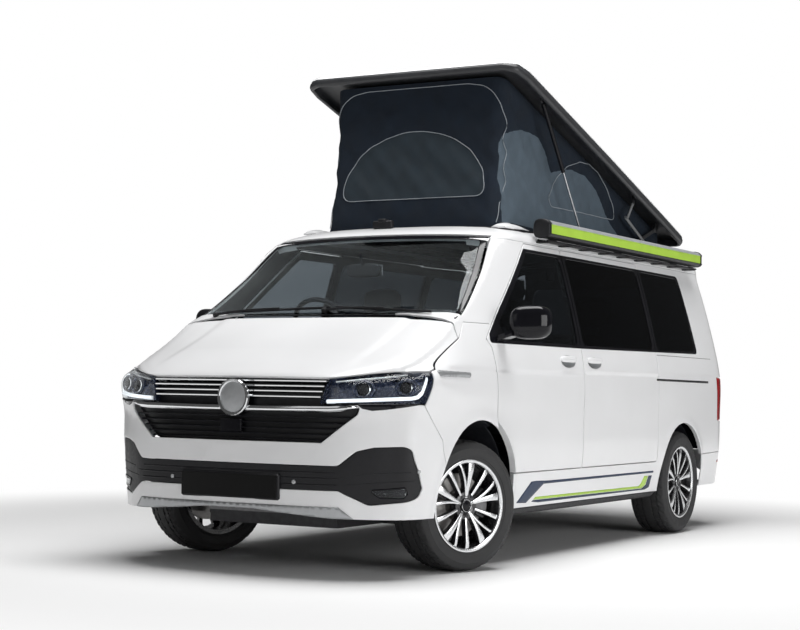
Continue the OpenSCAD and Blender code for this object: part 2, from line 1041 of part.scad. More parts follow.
// Awning case along the left roof rail, on two brackets.
awning_x0 = ra - 510;
awning_y = max(half_w - 178, lid_width / 2 + 39);
bracket_y = half_w - 208;
awning_z = 1812;
module awning() {
    color([0.55, 0.75, 0.1]) {
        translate([awning_x0, awning_y, awning_z])
            rotate([90, 0, 90])
                linear_extrude(awning_length)
                    polygon([[0, 46], [10, 12], [30, 0], [awning_box - 18, 4], [awning_box, 22],
                        [awning_box, awning_box - 30], [awning_box - 22, awning_box], [30, awning_box + 4],
                        [6, awning_box - 8]]);
        difference() {
            for (k = [0.1, 0.5, 0.9])
                translate([awning_x0 + k * awning_length - 40, bracket_y, awning_z + 20])
                    cube([80, awning_y + 14 - bracket_y, 36]);
            body_outer(-seam);
        }
    }
}

// Pop-top: the lid swings on two arms. Places are given with the lid closed.
roof_pin = [fa - 2754, roof_z - 20];
lid_pin_closed = [roof_pin[0] - arm_length, roof_pin[1]];
lid_pin = [roof_pin[0] - arm_length * cos(arm_angle), roof_pin[1] + arm_length * sin(arm_angle)];
lid_x0 = lid_pin_closed[0] - 314;
lid_x1 = lid_x0 + lid_length;
lid_t = 24;
lid_floor_z = closed_z - lid_rim - 26;
recess_z = roof_z - 44;
link_pin = [roof_pin[0] - 490, roof_z - 22];
upper_pin_closed = [roof_pin[0] - 70, closed_z - 76];
upper_length = 150;
strut_pin = [lid_x0 + 0.5907 * lid_length, roof_z - 24];
strut_top_closed = [lid_x0 + 0.827 * lid_length, closed_z - 62];
strut_r = 13;
strut_rod_r = 7;
tube_length = 500;

bellows_w = lid_width - 2 * bellows_inset;
arm_y = bellows_w / 2 + 27;
link_y = arm_y + 14;
upper_y = arm_y + 30;
strut_y = arm_y + 56;
plate = 6;

function to_open(p) = let (d = p - lid_pin_closed)
    [lid_pin[0] + d[0] * cos(lid_angle) - d[1] * sin(lid_angle),
     lid_pin[1] + d[0] * sin(lid_angle) + d[1] * cos(lid_angle)];

// Folding links: flat on one another with the lid closed, bent at the elbow with it open.
upper_pin = to_open(upper_pin_closed);
link_length = norm(upper_pin_closed - link_pin) + upper_length;
link_span = norm(upper_pin - link_pin);
link_angle = atan2(upper_pin[1] - link_pin[1], upper_pin[0] - link_pin[0])
    - acos((pow(link_length, 2) + pow(link_span, 2) - pow(upper_length, 2)) / (2 * link_length * link_span));
elbow = link_pin + link_length * [cos(link_angle), sin(link_angle)];
upper_angle = atan2(elbow[1] - upper_pin[1], elbow[0] - upper_pin[0]);

module open_lid() {
    translate([lid_pin[0], 0, lid_pin[1]])
        rotate([0, -lid_angle, 0])
            translate([-lid_pin_closed[0], 0, -lid_pin_closed[1]])
                children();
}

module lid_section(x, half, z_top, t) {
    translate([x, 0, 0])
        rotate([90, 0, 90])
            linear_extrude(eps)
                polygon([[-half + t, lid_floor_z - (t > 0 ? 20 : 0)], [half - t, lid_floor_z - (t > 0 ? 20 : 0)],
                    [half - t, z_top - 46 - t], [half - t - 34, z_top - 18 - t], [half / 2, z_top - 6 - t],
                    [0, z_top - t], [-half / 2, z_top - 6 - t], [-half + t + 34, z_top - 18 - t],
                    [-half + t, z_top - 46 - t]]);
}

module lid_solid(t) {
    hull() {
        lid_section(lid_x0 + t, lid_width / 2 - 40, closed_z - 24, t);
        lid_section(lid_x0 + 60 + t, lid_width / 2 - 6, closed_z - 6, t);
        lid_section(lid_x0 + lid_length / 2, lid_width / 2, closed_z, t);
        lid_section(lid_x1 - 220, lid_width / 2 - 2, closed_z - 4, t);
        lid_section(lid_x1 - 60 - t, lid_width / 2 - 60, closed_z - 22, t);
        lid_section(lid_x1 - t, lid_width / 2 - 220, closed_z - 44, t);
    }
}

module poptop_lid() {
    color([0.13, 0.13, 0.14])
        open_lid() {
            difference() {
                lid_solid(0);
                lid_solid(lid_t);
            }
            both_sides() {
                lid_stud(lid_pin_closed, arm_y);
                lid_stud(upper_pin_closed, upper_y);
                lid_stud(strut_top_closed, strut_y - 3);
            }
        }
}

// Pin under the lid with the hanger that holds it.
module lid_stud(p, y) {
    translate([p[0], 0, p[1]])
        y_cylinder(pin_r, y - 1, y + plate + 14);
    translate([p[0] - 10, y + plate + 4, p[1] - 8])
        cube([20, 10, closed_z - lid_t - p[1] - 8 + 4]);
}

// Recess in the roof under the lid and the opening into the cabin.
module lid_recess() {
    plan_prism(recess_z, far)
        offset(delta = 8)
            projection_of_lid();
    plan_prism(1000, far)
        translate([lid_x0 + 160, -bellows_w / 2 + 45])
            square([0.8 * lid_length, bellows_w - 90]);
}

module projection_of_lid() {
    polygon([[lid_x0, lid_width / 2 - 40], [lid_x0 + 60, lid_width / 2], [lid_x1 - 220, lid_width / 2],
        [lid_x1 - 60, lid_width / 2 - 60], [lid_x1, lid_width / 2 - 220], [lid_x1, -lid_width / 2 + 220],
        [lid_x1 - 60, -lid_width / 2 + 60], [lid_x1 - 220, -lid_width / 2], [lid_x0 + 60, -lid_width / 2],
        [lid_x0, -lid_width / 2 + 40]]);
}

bellows_front = lid_x1 - 130;
bellows_rear = lid_x0 + 120;
bellows_t = 8;
bellows_top = closed_z - lid_t - 44;
module bellows_outline(t) {
    polygon([[bellows_rear + t, recess_z + seam - t], [bellows_front - t, recess_z + seam - t],
        to_open([bellows_front - t, bellows_top + t]), to_open([bellows_rear + 20 + t, bellows_top + t])]);
}

// Fabric walls: open below into the cabin and closed above by the lid.
module bellows() {
    color([0.12, 0.16, 0.22])
        difference() {
            side_prism(-bellows_w / 2, bellows_w / 2)
                bellows_outline(0);
            side_prism(-bellows_w / 2 + bellows_t, bellows_w / 2 - bellows_t)
                bellows_outline(bellows_t);
        }
}

// Flat bar with an eye at each end, from the origin along +X.
module bar(l, h) {
    rotate([90, 0, 0])
        linear_extrude(plate)
            difference() {
                union() {
                    circle(h / 2);
                    translate([0, -h / 2])
                        square([l, h]);
                    translate([l, 0])
                        circle(h / 2);
                }
                circle(pin_r + 0.2);
                translate([l, 0])
                    circle(pin_r + 0.2);
            }
}

module place_bar(p, angle, y) {
    translate([p[0], y + plate, p[1]])
        rotate([0, -angle, 0])
            children();
}

module poptop_arms() {
    color([0.55, 0.56, 0.58])
        both_sides()
            place_bar(roof_pin, 180 - arm_angle, arm_y)
                bar(arm_length, 26);
}

module lower_links() {
    color([0.55, 0.56, 0.58])
        both_sides()
            place_bar(link_pin, link_angle, link_y)
                bar(link_length, 22);
}

module upper_links() {
    color([0.55, 0.56, 0.58])
        both_sides() {
            place_bar(upper_pin, upper_angle, upper_y)
                bar(upper_length, 22);
            translate([elbow[0], 0, elbow[1]])
                difference() {
                    y_cylinder(9, link_y + plate + 1, upper_y + 2);
                    y_cylinder(pin_r + 1, link_y, upper_y + 3);
                }
        }
}

strut_top = to_open(strut_top_closed);
strut_open = norm(strut_top - strut_pin);
strut_lean = atan2(strut_top[1] - strut_pin[1], strut_top[0] - strut_pin[0]);

// Gas strut: place with its own axis along +X from the roof pin to the lid.
module along_strut() {
    both_sides()
        translate([strut_pin[0], strut_y, strut_pin[1]])
            rotate([0, -strut_lean, 0])
                children();
}

module strut_tubes() {
    color([0.09, 0.09, 0.1])
        along_strut()
            difference() {
                union() {
                    translate([strut_open - tube_length, 0, 0])
                        rotate([0, 90, 0])
                            cylinder(r = strut_r, h = tube_length - 16);
                    translate([strut_open, 0, 0])
                        y_cylinder(12, -5, 5);
                    translate([strut_open - 30, -5, -8])
                        cube([30, 10, 16]);
                }
                translate([strut_open - tube_length - 1, 0, 0])
                    rotate([0, 90, 0])
                        cylinder(r = strut_rod_r + 0.3, h = tube_length - 40);
                translate([strut_open, 0, 0])
                    y_cylinder(pin_r + 0.2, -30, 30);
            }
}

module strut_rods() {
    color([0.75, 0.76, 0.78])
        along_strut()
            difference() {
                union() {
                    translate([14, 0, 0])
                        rotate([0, 90, 0])
                            cylinder(r = strut_rod_r, h = strut_open - tube_length + 60);
                    y_cylinder(12, -5, 5);
                    translate([0, -5, -5])
                        cube([20, 10, 10]);
                }
                y_cylinder(pin_r + 0.2, -30, 30);
            }
}

// Hinge hardware on the body: door posts, tailgate and bonnet brackets, pop-top pins.
gate_hinge = [tailgate_x - 12, roof_z - 54];
gate_hinge_y = 430;
gate_hinge_w = 40;
bonnet_hinge = [fa + 146, 1286];
bonnet_hinge_y = 690;

module hinge_brackets() {
    color([0.3, 0.3, 0.31])
        both_sides() {
            door_post();
            gate_bracket();
            bonnet_bracket();
            roof_stud(roof_pin, arm_y - 12, arm_y + plate + 1, arm_y - 12);
            roof_stud(link_pin, link_y - 1, link_y + plate + 8, link_y + plate + 2);
            roof_stud(strut_pin, strut_y - 17, strut_y + 6, strut_y - 17);
        }
}

post_x = door_x1 + 34;
module door_post() {
    translate([post_x, half_w - skin - 56, 806])
        cube([44, 56 - seam, 238]);
    for (z = hinge_rows) {
        translate([hinge_x, hinge_y, z - hinge_h + 2])
            cylinder(r = pin_r, h = 2 * hinge_h - 4);
        translate([hinge_x - 5, hinge_y - 40, z - hinge_h / 2 + 4])
            cube([10, 40, hinge_h - 8]);
        translate([hinge_x - 5, hinge_y - 46, z - hinge_h / 2 + 4])
            cube([post_x - hinge_x + 6, 10, hinge_h - 8]);
    }
}

module gate_bracket() {
    translate([gate_hinge[0], 0, gate_hinge[1]])
        y_cylinder(pin_r, gate_hinge_y - gate_hinge_w, gate_hinge_y + gate_hinge_w);
    translate([gate_hinge[0] - 5, gate_hinge_y - 14, gate_hinge[1] - 100])
        cube([10, 28, 100]);
    translate([gate_hinge[0] - 5, gate_hinge_y - 14, gate_hinge[1] - 100])
        cube([140, 28, 12]);
    gate_tab(0);
}

// Tab of the tailgate hinge that stands in a slot under the roof.
module gate_tab(grow) {
    translate([gate_hinge[0] + 115 - grow, gate_hinge_y - 14 - grow, gate_hinge[1] - 100])
        cube([20 + 2 * grow, 28 + 2 * grow, 70 + grow]);
}

// Notches for the tailgate hinges. Kind 0 frees the roof, kind 1 the tailgate.
module hinge_slots(kind) {
    both_sides() {
        if (kind == 1) {
            translate([gate_hinge[0], 0, gate_hinge[1]])
                y_cylinder(pin_r + 0.5, gate_hinge_y - gate_hinge_w - 2, gate_hinge_y + gate_hinge_w + 2);
            translate([gate_hinge[0] - 24, gate_hinge_y - 20, gate_hinge[1] - 130])
                cube([60, 40, 136]);
        }
        if (kind == 0)
            gate_tab(seam);
    }
}

module bonnet_arm() {
    difference() {
        union() {
            translate([bonnet_hinge[0] - 9, bonnet_hinge_y - 5, bonnet_hinge[1] - 36])
                cube([80, 10, 28]);
            translate([bonnet_hinge[0] - 9, bonnet_hinge_y - 5, bonnet_hinge[1] - 36])
                cube([18, 10, 36]);
            translate([bonnet_hinge[0], 0, bonnet_hinge[1]])
                y_cylinder(9, bonnet_hinge_y - 5, bonnet_hinge_y + 5);
        }
        translate([bonnet_hinge[0], 0, bonnet_hinge[1]])
            y_cylinder(pin_r + 0.5, bonnet_hinge_y - 10, bonnet_hinge_y + 10);
    }
}

module bonnet_bracket() {
    translate([bonnet_hinge[0], 0, bonnet_hinge[1]])
        y_cylinder(pin_r, bonnet_hinge_y - 6, bonnet_hinge_y + 22);
    translate([bonnet_hinge[0] - 8, bonnet_hinge_y + 11, 1150])
        cube([16, 8, bonnet_hinge[1] - 1150 + 6]);
    translate([bulkhead_x + 15 + seam, bonnet_hinge_y + 11, 1150])
        cube([bonnet_hinge[0] - bulkhead_x - 15, 8, 30]);
}

// Pin from y0 to y1 on a roof bracket that stands at y.
module roof_stud(p, y0, y1, y) {
    translate([p[0], 0, p[1]])
        y_cylinder(pin_r, y0, y1);
    translate([p[0] - 9, y, recess_z + seam])
        cube([18, 6, p[1] - recess_z - seam + 7]);
}

floor_pan();
roof_panel();
body_side_left();
body_side_right();
fenders();
front_bumper();
bumper_trim();
grille();
headlamps();
bonnet();
windscreen();
sliding_door();
side_glass();
front_door_left();
front_door_right();
door_glass_left();
door_glass_right();
tailgate();
tailgate_glass();
tail_lamps();
rear_bumper();
dashboard();
steering_wheel();
seats();
kitchen_unit();
engine_block();
underbody();
rear_axle();
hinge_brackets();
awning();
knuckle_left();
knuckle_right();
tyre_at("front", 1);  // tyre_front_left
tyre_at("front", -1);  // tyre_front_right
tyre_at("rear", 1);  // tyre_rear_left
tyre_at("rear", -1);  // tyre_rear_right
rim_at("front", 1);  // rim_front_left
rim_at("front", -1);  // rim_front_right
rim_at("rear", 1);  // rim_rear_left
rim_at("rear", -1);  // rim_rear_right
poptop_lid();
bellows();
poptop_arms();
lower_links();
upper_links();
strut_tubes();
strut_rods();
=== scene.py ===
"""Camper minivan with a raised pop-top: the visible pieces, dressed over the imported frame."""
import math

import bpy
import numpy as np
from mathutils import Matrix, Vector
from mathutils.bvhtree import BVHTree
from mathutils.geometry import delaunay_2d_cdt


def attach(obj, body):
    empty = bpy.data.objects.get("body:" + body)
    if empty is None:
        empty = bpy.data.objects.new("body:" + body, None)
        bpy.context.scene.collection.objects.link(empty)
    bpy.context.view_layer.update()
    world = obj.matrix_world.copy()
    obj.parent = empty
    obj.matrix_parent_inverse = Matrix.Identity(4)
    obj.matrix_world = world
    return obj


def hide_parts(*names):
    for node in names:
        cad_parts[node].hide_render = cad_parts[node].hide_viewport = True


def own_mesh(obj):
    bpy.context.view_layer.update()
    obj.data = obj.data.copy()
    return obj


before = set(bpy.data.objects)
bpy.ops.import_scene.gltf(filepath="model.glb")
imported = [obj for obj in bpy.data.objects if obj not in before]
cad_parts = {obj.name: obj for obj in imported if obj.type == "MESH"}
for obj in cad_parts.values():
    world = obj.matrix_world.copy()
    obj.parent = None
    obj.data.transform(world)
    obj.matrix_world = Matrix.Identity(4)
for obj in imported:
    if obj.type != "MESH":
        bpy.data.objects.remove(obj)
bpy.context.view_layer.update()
RNG = np.random.default_rng(7)
MM = 0.001

# Sizes, in mm, the same as the part's source
HALF_W = 952.0
FA = 1544.0
RA = -1456.0
TYRE_R = 343.0
TYRE_W = 255.0
RIM_R = 229.0
WHEEL_Y = 814.0
AXLE_Z = 343.0
ARCH_Z = 363.0
FRONT_ARCH_R = 425.0
REAR_ARCH_R = 398.0
SILL_Z = 497.0
BELT_Z = 1218.0
TOP_Z = 1738.0
RAIL_Z = 1786.0
DOOR_X0 = 215.0
DOOR_X1 = 1347.0
SLIDE_X0 = -990.0
FAR = 3000.0

# Body sections: x, z_bottom, inset_bottom, inset_side, z_edge, inset_edge, z_top, n
STATIONS = np.array([
    [FA + 908, 336, 820, 780, 600, 800, 660, 2.4],
    [FA + 894, 318, 600, 545, 770, 590, 820, 2.4],
    [FA + 876, 308, 470, 415, 890, 470, 940, 2.4],
    [FA + 850, 302, 372, 325, 965, 376, 1003, 2.4],
    [FA + 800, 300, 276, 236, 990, 296, 1040, 2.5],
    [FA + 723, 298, 168, 136, 1008, 200, 1078, 2.6],
    [FA + 623, 297, 82, 40, 1028, 120, 1117, 2.7],
    [FA + 478, 296, 50, 8, 1078, 88, 1172, 2.9],
    [FA + 250, 296, 47, 0, 1196, 80, 1270, 3.5],
    [FA + 156, 296, 45, 0, 1262, 82, 1320, 3.8],
    [FA + 20, 296, 45, 0, 1320, 94, 1408, 3.0],
    [FA - 270, 296, 45, 0, 1500, 130, 1632, 2.6],
    [FA - 610, 296, 45, 0, 1766, 176, 1866, 2.8],
    [FA - 800, 296, 45, 0, 1788, 177, 1903, 3.0],
    [0, 296, 45, 0, 1795, 175, 1925, 3.2],
    [RA + 100, 296, 45, 0, 1792, 177, 1921, 3.4],
    [RA - 696, 298, 47, 8, 1782, 187, 1909, 3.8],
    [RA - 826, 306, 70, 36, 1756, 222, 1885, 4.2],
    [RA - 904, 330, 120, 88, 1640, 256, 1790, 4.2],
    [RA - 956, 360, 190, 168, 1160, 240, 1300, 4.2],
    [RA - 996, 430, 330, 300, 640, 340, 700, 4.2],
])[::-1]


def pchip(xs, ys, xq):
    """Smooth shape-keeping curve through the stations, one per column."""
    h = np.diff(xs)[:, None]
    d = np.diff(ys, axis=0) / h
    m = np.zeros_like(ys)
    w1 = 2 * h[1:] + h[:-1]
    w2 = h[1:] + 2 * h[:-1]
    same = d[:-1] * d[1:] > 0
    with np.errstate(divide="ignore", invalid="ignore"):
        mid = (w1 + w2) / (w1 / d[:-1] + w2 / d[1:])
    m[1:-1] = np.where(same, mid, 0.0)
    m[0] = d[0]
    m[-1] = d[-1]
    i = np.clip(np.searchsorted(xs, xq, side="right") - 1, 0, len(xs) - 2)
    t = ((xq - xs[i]) / h[i, 0])[:, None]
    a = ys[i] * (1 + 2 * t) * (1 - t) ** 2 + m[i] * h[i] * t * (1 - t) ** 2
    return a + ys[i + 1] * t * t * (3 - 2 * t) + m[i + 1] * h[i] * t * t * (t - 1)


def section_keys(c):
    """Key points of the left half section, from the sill edge to the top centre: (rows, keys, 2)."""
    zb, ib, side, ze, ie, zt, n = c.T
    ws = HALF_W - side
    we = HALF_W - ie
    zs = np.minimum(1050.0, ze - 24.0)
    pts = [(HALF_W - ib, zb), (ws - 6, np.minimum(540.0, (zb + ze) / 2))]
    pts.append((ws, np.minimum(780.0, (zb + 2 * ze) / 3)))
    for k in (0.0, 0.2, 0.4, 0.6, 0.8, 1.0):
        pts.append((ws - (ws - we) * k ** 1.25, zs + (ze - zs) * k))
    for a in (12, 26, 42, 60, 78):
        ca = math.cos(math.radians(a))
        sa = math.sin(math.radians(a))
        pts.append((we * ca ** (2 / n), ze + (zt - ze) * sa ** (2 / n)))
    pts.append((0.0 * zt, zt))
    return np.stack([np.stack(p, -1) for p in pts], 1)


def spline_rows(keys, cuts):
    """Smooth curve through the key points of every row, sampled at the cuts of each interval."""
    ext = np.concatenate([keys, keys[:, -2:-1] * np.array([-1.0, 1.0])], 1)
    h = np.maximum(np.linalg.norm(np.diff(ext, axis=1), axis=2, keepdims=True), 1e-6)
    d = np.diff(ext, axis=1) / h
    m = (d[:, :-1] * h[:, 1:] + d[:, 1:] * h[:, :-1]) / (h[:, :-1] + h[:, 1:])
    m = np.concatenate([d[:, :1], m], 1)
    out = []
    for i, ts in enumerate(cuts):
        p0, p1, m0, m1, hh = keys[:, i], keys[:, i + 1], m[:, i], m[:, i + 1], h[:, i]
        for t in ts:
            a = p0 * (1 + 2 * t) * (1 - t) ** 2 + m0 * hh * t * (1 - t) ** 2
            out.append(a + p1 * t * t * (3 - 2 * t) + m1 * hh * t * t * (t - 1))
    out.append(keys[:, -1])
    return np.stack(out, 1)


def make_master():
    """The whole outer skin as one fine grid, with the side groove and the arch lips worked in."""
    xs = np.concatenate([
        np.arange(-2452, -2280, 3.0), np.arange(-2280, 2000, 12.0), np.arange(2000, 2344, 8.0),
        np.arange(2344, 2394, 3.0), np.arange(2394, 2452, 1.0), [2452.0]])
    cols = pchip(STATIONS[:, 0], STATIONS[:, 1:], xs)
    even = list(np.arange(0, 1, 0.125))
    cuts = [list(np.arange(0, 1, 0.0625)), even,
            list(np.arange(0, 0.9, 0.1)) + [0.93, 0.955, 0.97, 0.98, 0.99]]
    cuts.append([0.0, 0.02, 0.04, 0.06, 0.09, 0.14] + list(np.arange(0.22, 1, 0.13)))
    cuts += [even] * 4 + [list(np.arange(0, 1, 0.1))] * 5 + [even]
    half = spline_rows(section_keys(cols), cuts)
    full = np.concatenate([half, half[:, -2::-1] * np.array([-1.0, 1.0])], 1)
    p = np.concatenate([np.broadcast_to(xs[:, None, None], full.shape[:2] + (1,)), full], 2)
    side = np.sign(p[:, :, 1])
    z = p[:, :, 2]
    fade = np.clip((p[:, :, 0] + 2060) / 40, 0, 1) * np.clip((1930 - p[:, :, 0]) / 60, 0, 1)
    dent = -5.0 * np.exp(-((z - 1050) / 4.5) ** 2) * fade
    for cx, cz, r in ((FA, ARCH_Z, FRONT_ARCH_R), (RA, AXLE_Z, REAR_ARCH_R)):
        rad = np.hypot(p[:, :, 0] - cx, z - cz)
        dent = dent + 9.0 * np.exp(-((rad - r - 12) / 24.0) ** 2) * (np.abs(p[:, :, 1]) > 860)
    wide = np.clip((np.abs(p[:, :, 1]) - 300) / 100, 0, 1)
    p[:, :, 1] += side * dent * wide
    flat_top = np.clip((620 - np.abs(p[:, :, 1])) / 55, 0, 1)
    along = np.clip((p[:, :, 0] - 1560) / 160, 0, 1) * np.clip((2330 - p[:, :, 0]) / 220, 0, 1) * (z > 1000)
    p[:, :, 2] += 9.0 * flat_top * flat_top * (3 - 2 * flat_top) * along
    du = np.gradient(p, axis=0)
    dv = np.gradient(p, axis=1)
    nrm = np.cross(dv, du)
    nrm /= np.maximum(np.linalg.norm(nrm, axis=2, keepdims=True), 1e-9)
    out = np.sign(np.sum(nrm * (p - np.array([0.0, 0.0, 900.0])) * np.array([0.02, 1, 1]), axis=2,
                         keepdims=True))
    nrm *= np.where(out == 0, 1, out)
    return xs, p, nrm


MX, MP, MN = make_master()
ROWS, COLS = MP.shape[:2]


def make_tree():
    """Ray-casting tree of the master grid, its end caps last."""
    idx = np.arange(ROWS * COLS).reshape(ROWS, COLS)
    quads = np.stack([idx[:-1, :-1], idx[1:, :-1], idx[1:, 1:], idx[:-1, 1:]], -1).reshape(-1, 4)
    polys = quads.tolist()
    for row in (idx[0], idx[-1]):
        polys += [[row[j], row[j + 1], row[COLS - 2 - j], row[COLS - 1 - j]] for j in range(COLS // 2)]
    polys = [[int(i) for i in q] for q in polys]
    return BVHTree.FromPolygons(MP.reshape(-1, 3).tolist(), polys)


TREE = make_tree()
QUADS = (ROWS - 1) * (COLS - 1)
WRAP = 950.0
HALF = math.sqrt(0.5)


def rays(view, q):
    """Ray starts and directions for 2-D points of a view."""
    a = q[:, 0]
    b = q[:, 1]
    one = np.ones_like(a)
    zero = np.zeros_like(a)
    if view == "side":
        return np.stack([a, 1500 * one, b], 1), np.stack([zero, -one, zero], 1)
    if view == "front":
        return np.stack([4000 * one, a, b], 1), np.stack([-one, zero, zero], 1)
    if view == "rear":
        return np.stack([-4000 * one, a, b], 1), np.stack([one, zero, zero], 1)
    if view == "top":
        return np.stack([a, b, 3000 * one], 1), np.stack([zero, zero, -one], 1)
    if view == "over":
        return np.stack([a, (3000 - b) * HALF, (3000 + b) * HALF],
                        1), np.stack([zero, -HALF * one, -HALF * one], 1)
    sign = 1.0 if view == "nose" else -1.0
    c = np.cos(a / WRAP)
    s = np.sin(a / WRAP)
    return np.stack([sign * (1500 + 2000 * c), 2000 * s, b], 1), np.stack([-sign * c, -s, zero], 1)


def flat(view, p):
    """2-D points of a view for points in space."""
    x, y, z = p[:, 0], p[:, 1], p[:, 2]
    if view == "side":
        return np.stack([x, z], 1)
    if view in ("front", "rear"):
        return np.stack([y, z], 1)
    if view == "top":
        return np.stack([x, y], 1)
    if view == "over":
        return np.stack([x, (z - y) * HALF], 1)
    sign = 1.0 if view == "nose" else -1.0
    return np.stack([np.arctan2(y, sign * x - 1500) * WRAP, z], 1)


def drop(view, q):
    """Points and smooth normals where the rays of a view meet the skin."""
    q = np.asarray(q, float)
    start, way = rays(view, q)
    loc = np.zeros((len(q), 3))
    nrm = np.zeros((len(q), 3))
    face = np.full(len(q), -1)
    cap = np.zeros((len(q), 3))
    for i in range(len(q)):
        hit = TREE.ray_cast(start[i], way[i])
        if hit[0] is None:
            near = TREE.find_nearest(start[i] + way[i] * np.linalg.norm(start[i] * way[i]) * 0.6)
            hit = near
        loc[i] = hit[0]
        cap[i] = hit[1]
        face[i] = hit[2]
    ok = face < QUADS
    r = np.clip(face // (COLS - 1), 0, ROWS - 2)
    c = np.clip(face % (COLS - 1), 0, COLS - 2)
    u = np.clip((loc[:, 0] - MX[r]) / (MX[r + 1] - MX[r]), 0, 1)[:, None]
    p0 = MP[r, c] * (1 - u) + MP[r + 1, c] * u
    p1 = MP[r, c + 1] * (1 - u) + MP[r + 1, c + 1] * u
    seg = p1 - p0
    v = np.clip(np.sum((loc - p0) * seg, 1) / np.maximum(np.sum(seg * seg, 1), 1e-9), 0, 1)[:, None]
    n0 = MN[r, c] * (1 - u) + MN[r + 1, c] * u
    n1 = MN[r, c + 1] * (1 - u) + MN[r + 1, c + 1] * u
    nrm = n0 * (1 - v) + n1 * v
    nrm /= np.maximum(np.linalg.norm(nrm, axis=1, keepdims=True), 1e-9)
    cap *= np.sign(cap[:, :1]) * np.sign(loc[:, :1])
    nrm[~ok] = cap[~ok]
    return loc, nrm


def inside(poly, q):
    """Even-odd test of 2-D points against a closed outline."""
    poly = np.asarray(poly, float)
    x, y = q[:, 0][:, None], q[:, 1][:, None]
    a = poly
    b = np.roll(poly, -1, 0)
    cross = (a[:, 1] > y) != (b[:, 1] > y)
    with np.errstate(divide="ignore", invalid="ignore"):
        xi = (b[:, 0] - a[:, 0]) * (y - a[:, 1]) / (b[:, 1] - a[:, 1]) + a[:, 0]
    return (np.sum(cross & (x < xi), 1) % 2) == 1


def resample(loop, step):
    loop = np.asarray(loop, float)
    out = []
    for a, b in zip(loop, np.roll(loop, -1, 0)):
        n = max(1, int(np.ceil(np.linalg.norm(b - a) / step)))
        out += [a + (b - a) * i / n for i in range(n)]
    return np.array(out)


def path(points, step):
    """Open line resampled."""
    return resample(points, step)[:sum(
        max(1, int(np.ceil(np.linalg.norm(np.subtract(b, a)) / step))) for a,
        b in zip(points[:-1], points[1:])) + 1]


def grow(loop, d):
    """Outline moved outwards by d, its corners mitred and capped."""
    p = np.asarray(loop, float)
    area = np.sum(p[:, 0] * np.roll(p[:, 1], -1) - np.roll(p[:, 0], -1) * p[:, 1])
    if area < 0:
        p = p[::-1]
    e = np.roll(p, -1, 0) - p
    e /= np.maximum(np.linalg.norm(e, axis=1, keepdims=True), 1e-9)
    n1 = np.stack([e[:, 1], -e[:, 0]], 1)
    n0 = np.roll(n1, 1, 0)
    m = n0 + n1
    return p + d * m / np.maximum(1 + np.sum(n0 * n1, 1, keepdims=True), 0.25)


def rounded(poly, r, n=7):
    """Outline with its corners rounded to radius r."""
    p = np.asarray(poly, float)
    out = []
    for i in range(len(p)):
        a, b, c = p[i - 1], p[i], p[(i + 1) % len(p)]
        u = (a - b) / np.linalg.norm(a - b)
        v = (c - b) / np.linalg.norm(c - b)
        half = math.acos(max(-1.0, min(1.0, float(u @ v)))) / 2
        cut = min(r / math.tan(half), 0.48 * np.linalg.norm(a - b), 0.48 * np.linalg.norm(c - b))
        rr = cut * math.tan(half)
        w = (u + v) / np.linalg.norm(u + v)
        mid = b + w * rr / math.sin(half)
        p0 = b + u * cut - mid
        p1 = b + v * cut - mid
        a0 = math.atan2(p0[1], p0[0])
        da = (math.atan2(p1[1], p1[0]) - a0 + math.pi) % (2 * math.pi) - math.pi
        out += [mid + rr * np.array([math.cos(a0 + da * k / n), math.sin(a0 + da * k / n)])
                for k in range(n + 1)]
    return np.array(out)


def ring(cx, cz, r, n=96):
    a = np.linspace(0, 2 * math.pi, n, endpoint=False)
    return np.stack([cx + r * np.cos(a), cz + r * np.sin(a)], 1)


def mirror(poly):
    return np.asarray(poly, float)[::-1] * np.array([-1.0, 1.0])


def carry(view_from, view_to, poly, step=12.0):
    """An outline of one view carried over the skin to another view."""
    return flat(view_to, drop(view_from, resample(poly, step))[0])


def lay(view_from, view_to, points, step=12.0):
    """An open line of one view carried over the skin to another view."""
    return flat(view_to, drop(view_from, path(points, step))[0])


def region(view, loops, keep, step=20.0, edge=10.0, ring_in=4.0):
    """Triangles of the kept part of a view, laid on the skin: points, normals, triangles."""
    pts = []
    con = []
    for lp in loops:
        r = resample(lp, edge)
        base = len(pts)
        pts += r.tolist()
        con += [(base + i, base + (i + 1) % len(r)) for i in range(len(r))]
        if ring_in:
            pts += grow(r, ring_in).tolist() + grow(r, -ring_in).tolist()
    rim = np.array(pts)
    lo = rim.min(0)
    hi = rim.max(0)
    gx, gy = np.meshgrid(np.arange(lo[0] + 3, hi[0], step), np.arange(lo[1] + 3, hi[1], step))
    gx[1::2] += step / 2
    g = np.stack([gx.ravel(), gy.ravel()], 1)
    g = g[keep(g)]
    near = np.concatenate([((c[:, None] - rim[None]) ** 2).sum(2).min(1)
                           for c in np.array_split(g, len(g) // 400 + 1)])
    g = g[near > (0.55 * step) ** 2]
    pts += g.tolist()
    out = delaunay_2d_cdt([Vector(p) for p in pts], con, [], 0, 1e-3)
    co = np.array([tuple(v) for v in out[0]])
    tri = np.array([f for f in out[2] if len(f) == 3])
    tri = tri[keep(co[tri].mean(1))]
    used, inv = np.unique(tri, return_inverse=True)
    tri = inv.reshape(-1, 3)
    p, n = drop(view, co[used])
    k = np.cross(p[tri[:, 1]] - p[tri[:, 0]], p[tri[:, 2]] - p[tri[:, 0]])
    flip = np.sum(k * n[tri].sum(1), 1) < 0
    tri[flip] = tri[flip][:, ::-1]
    return p, n, tri


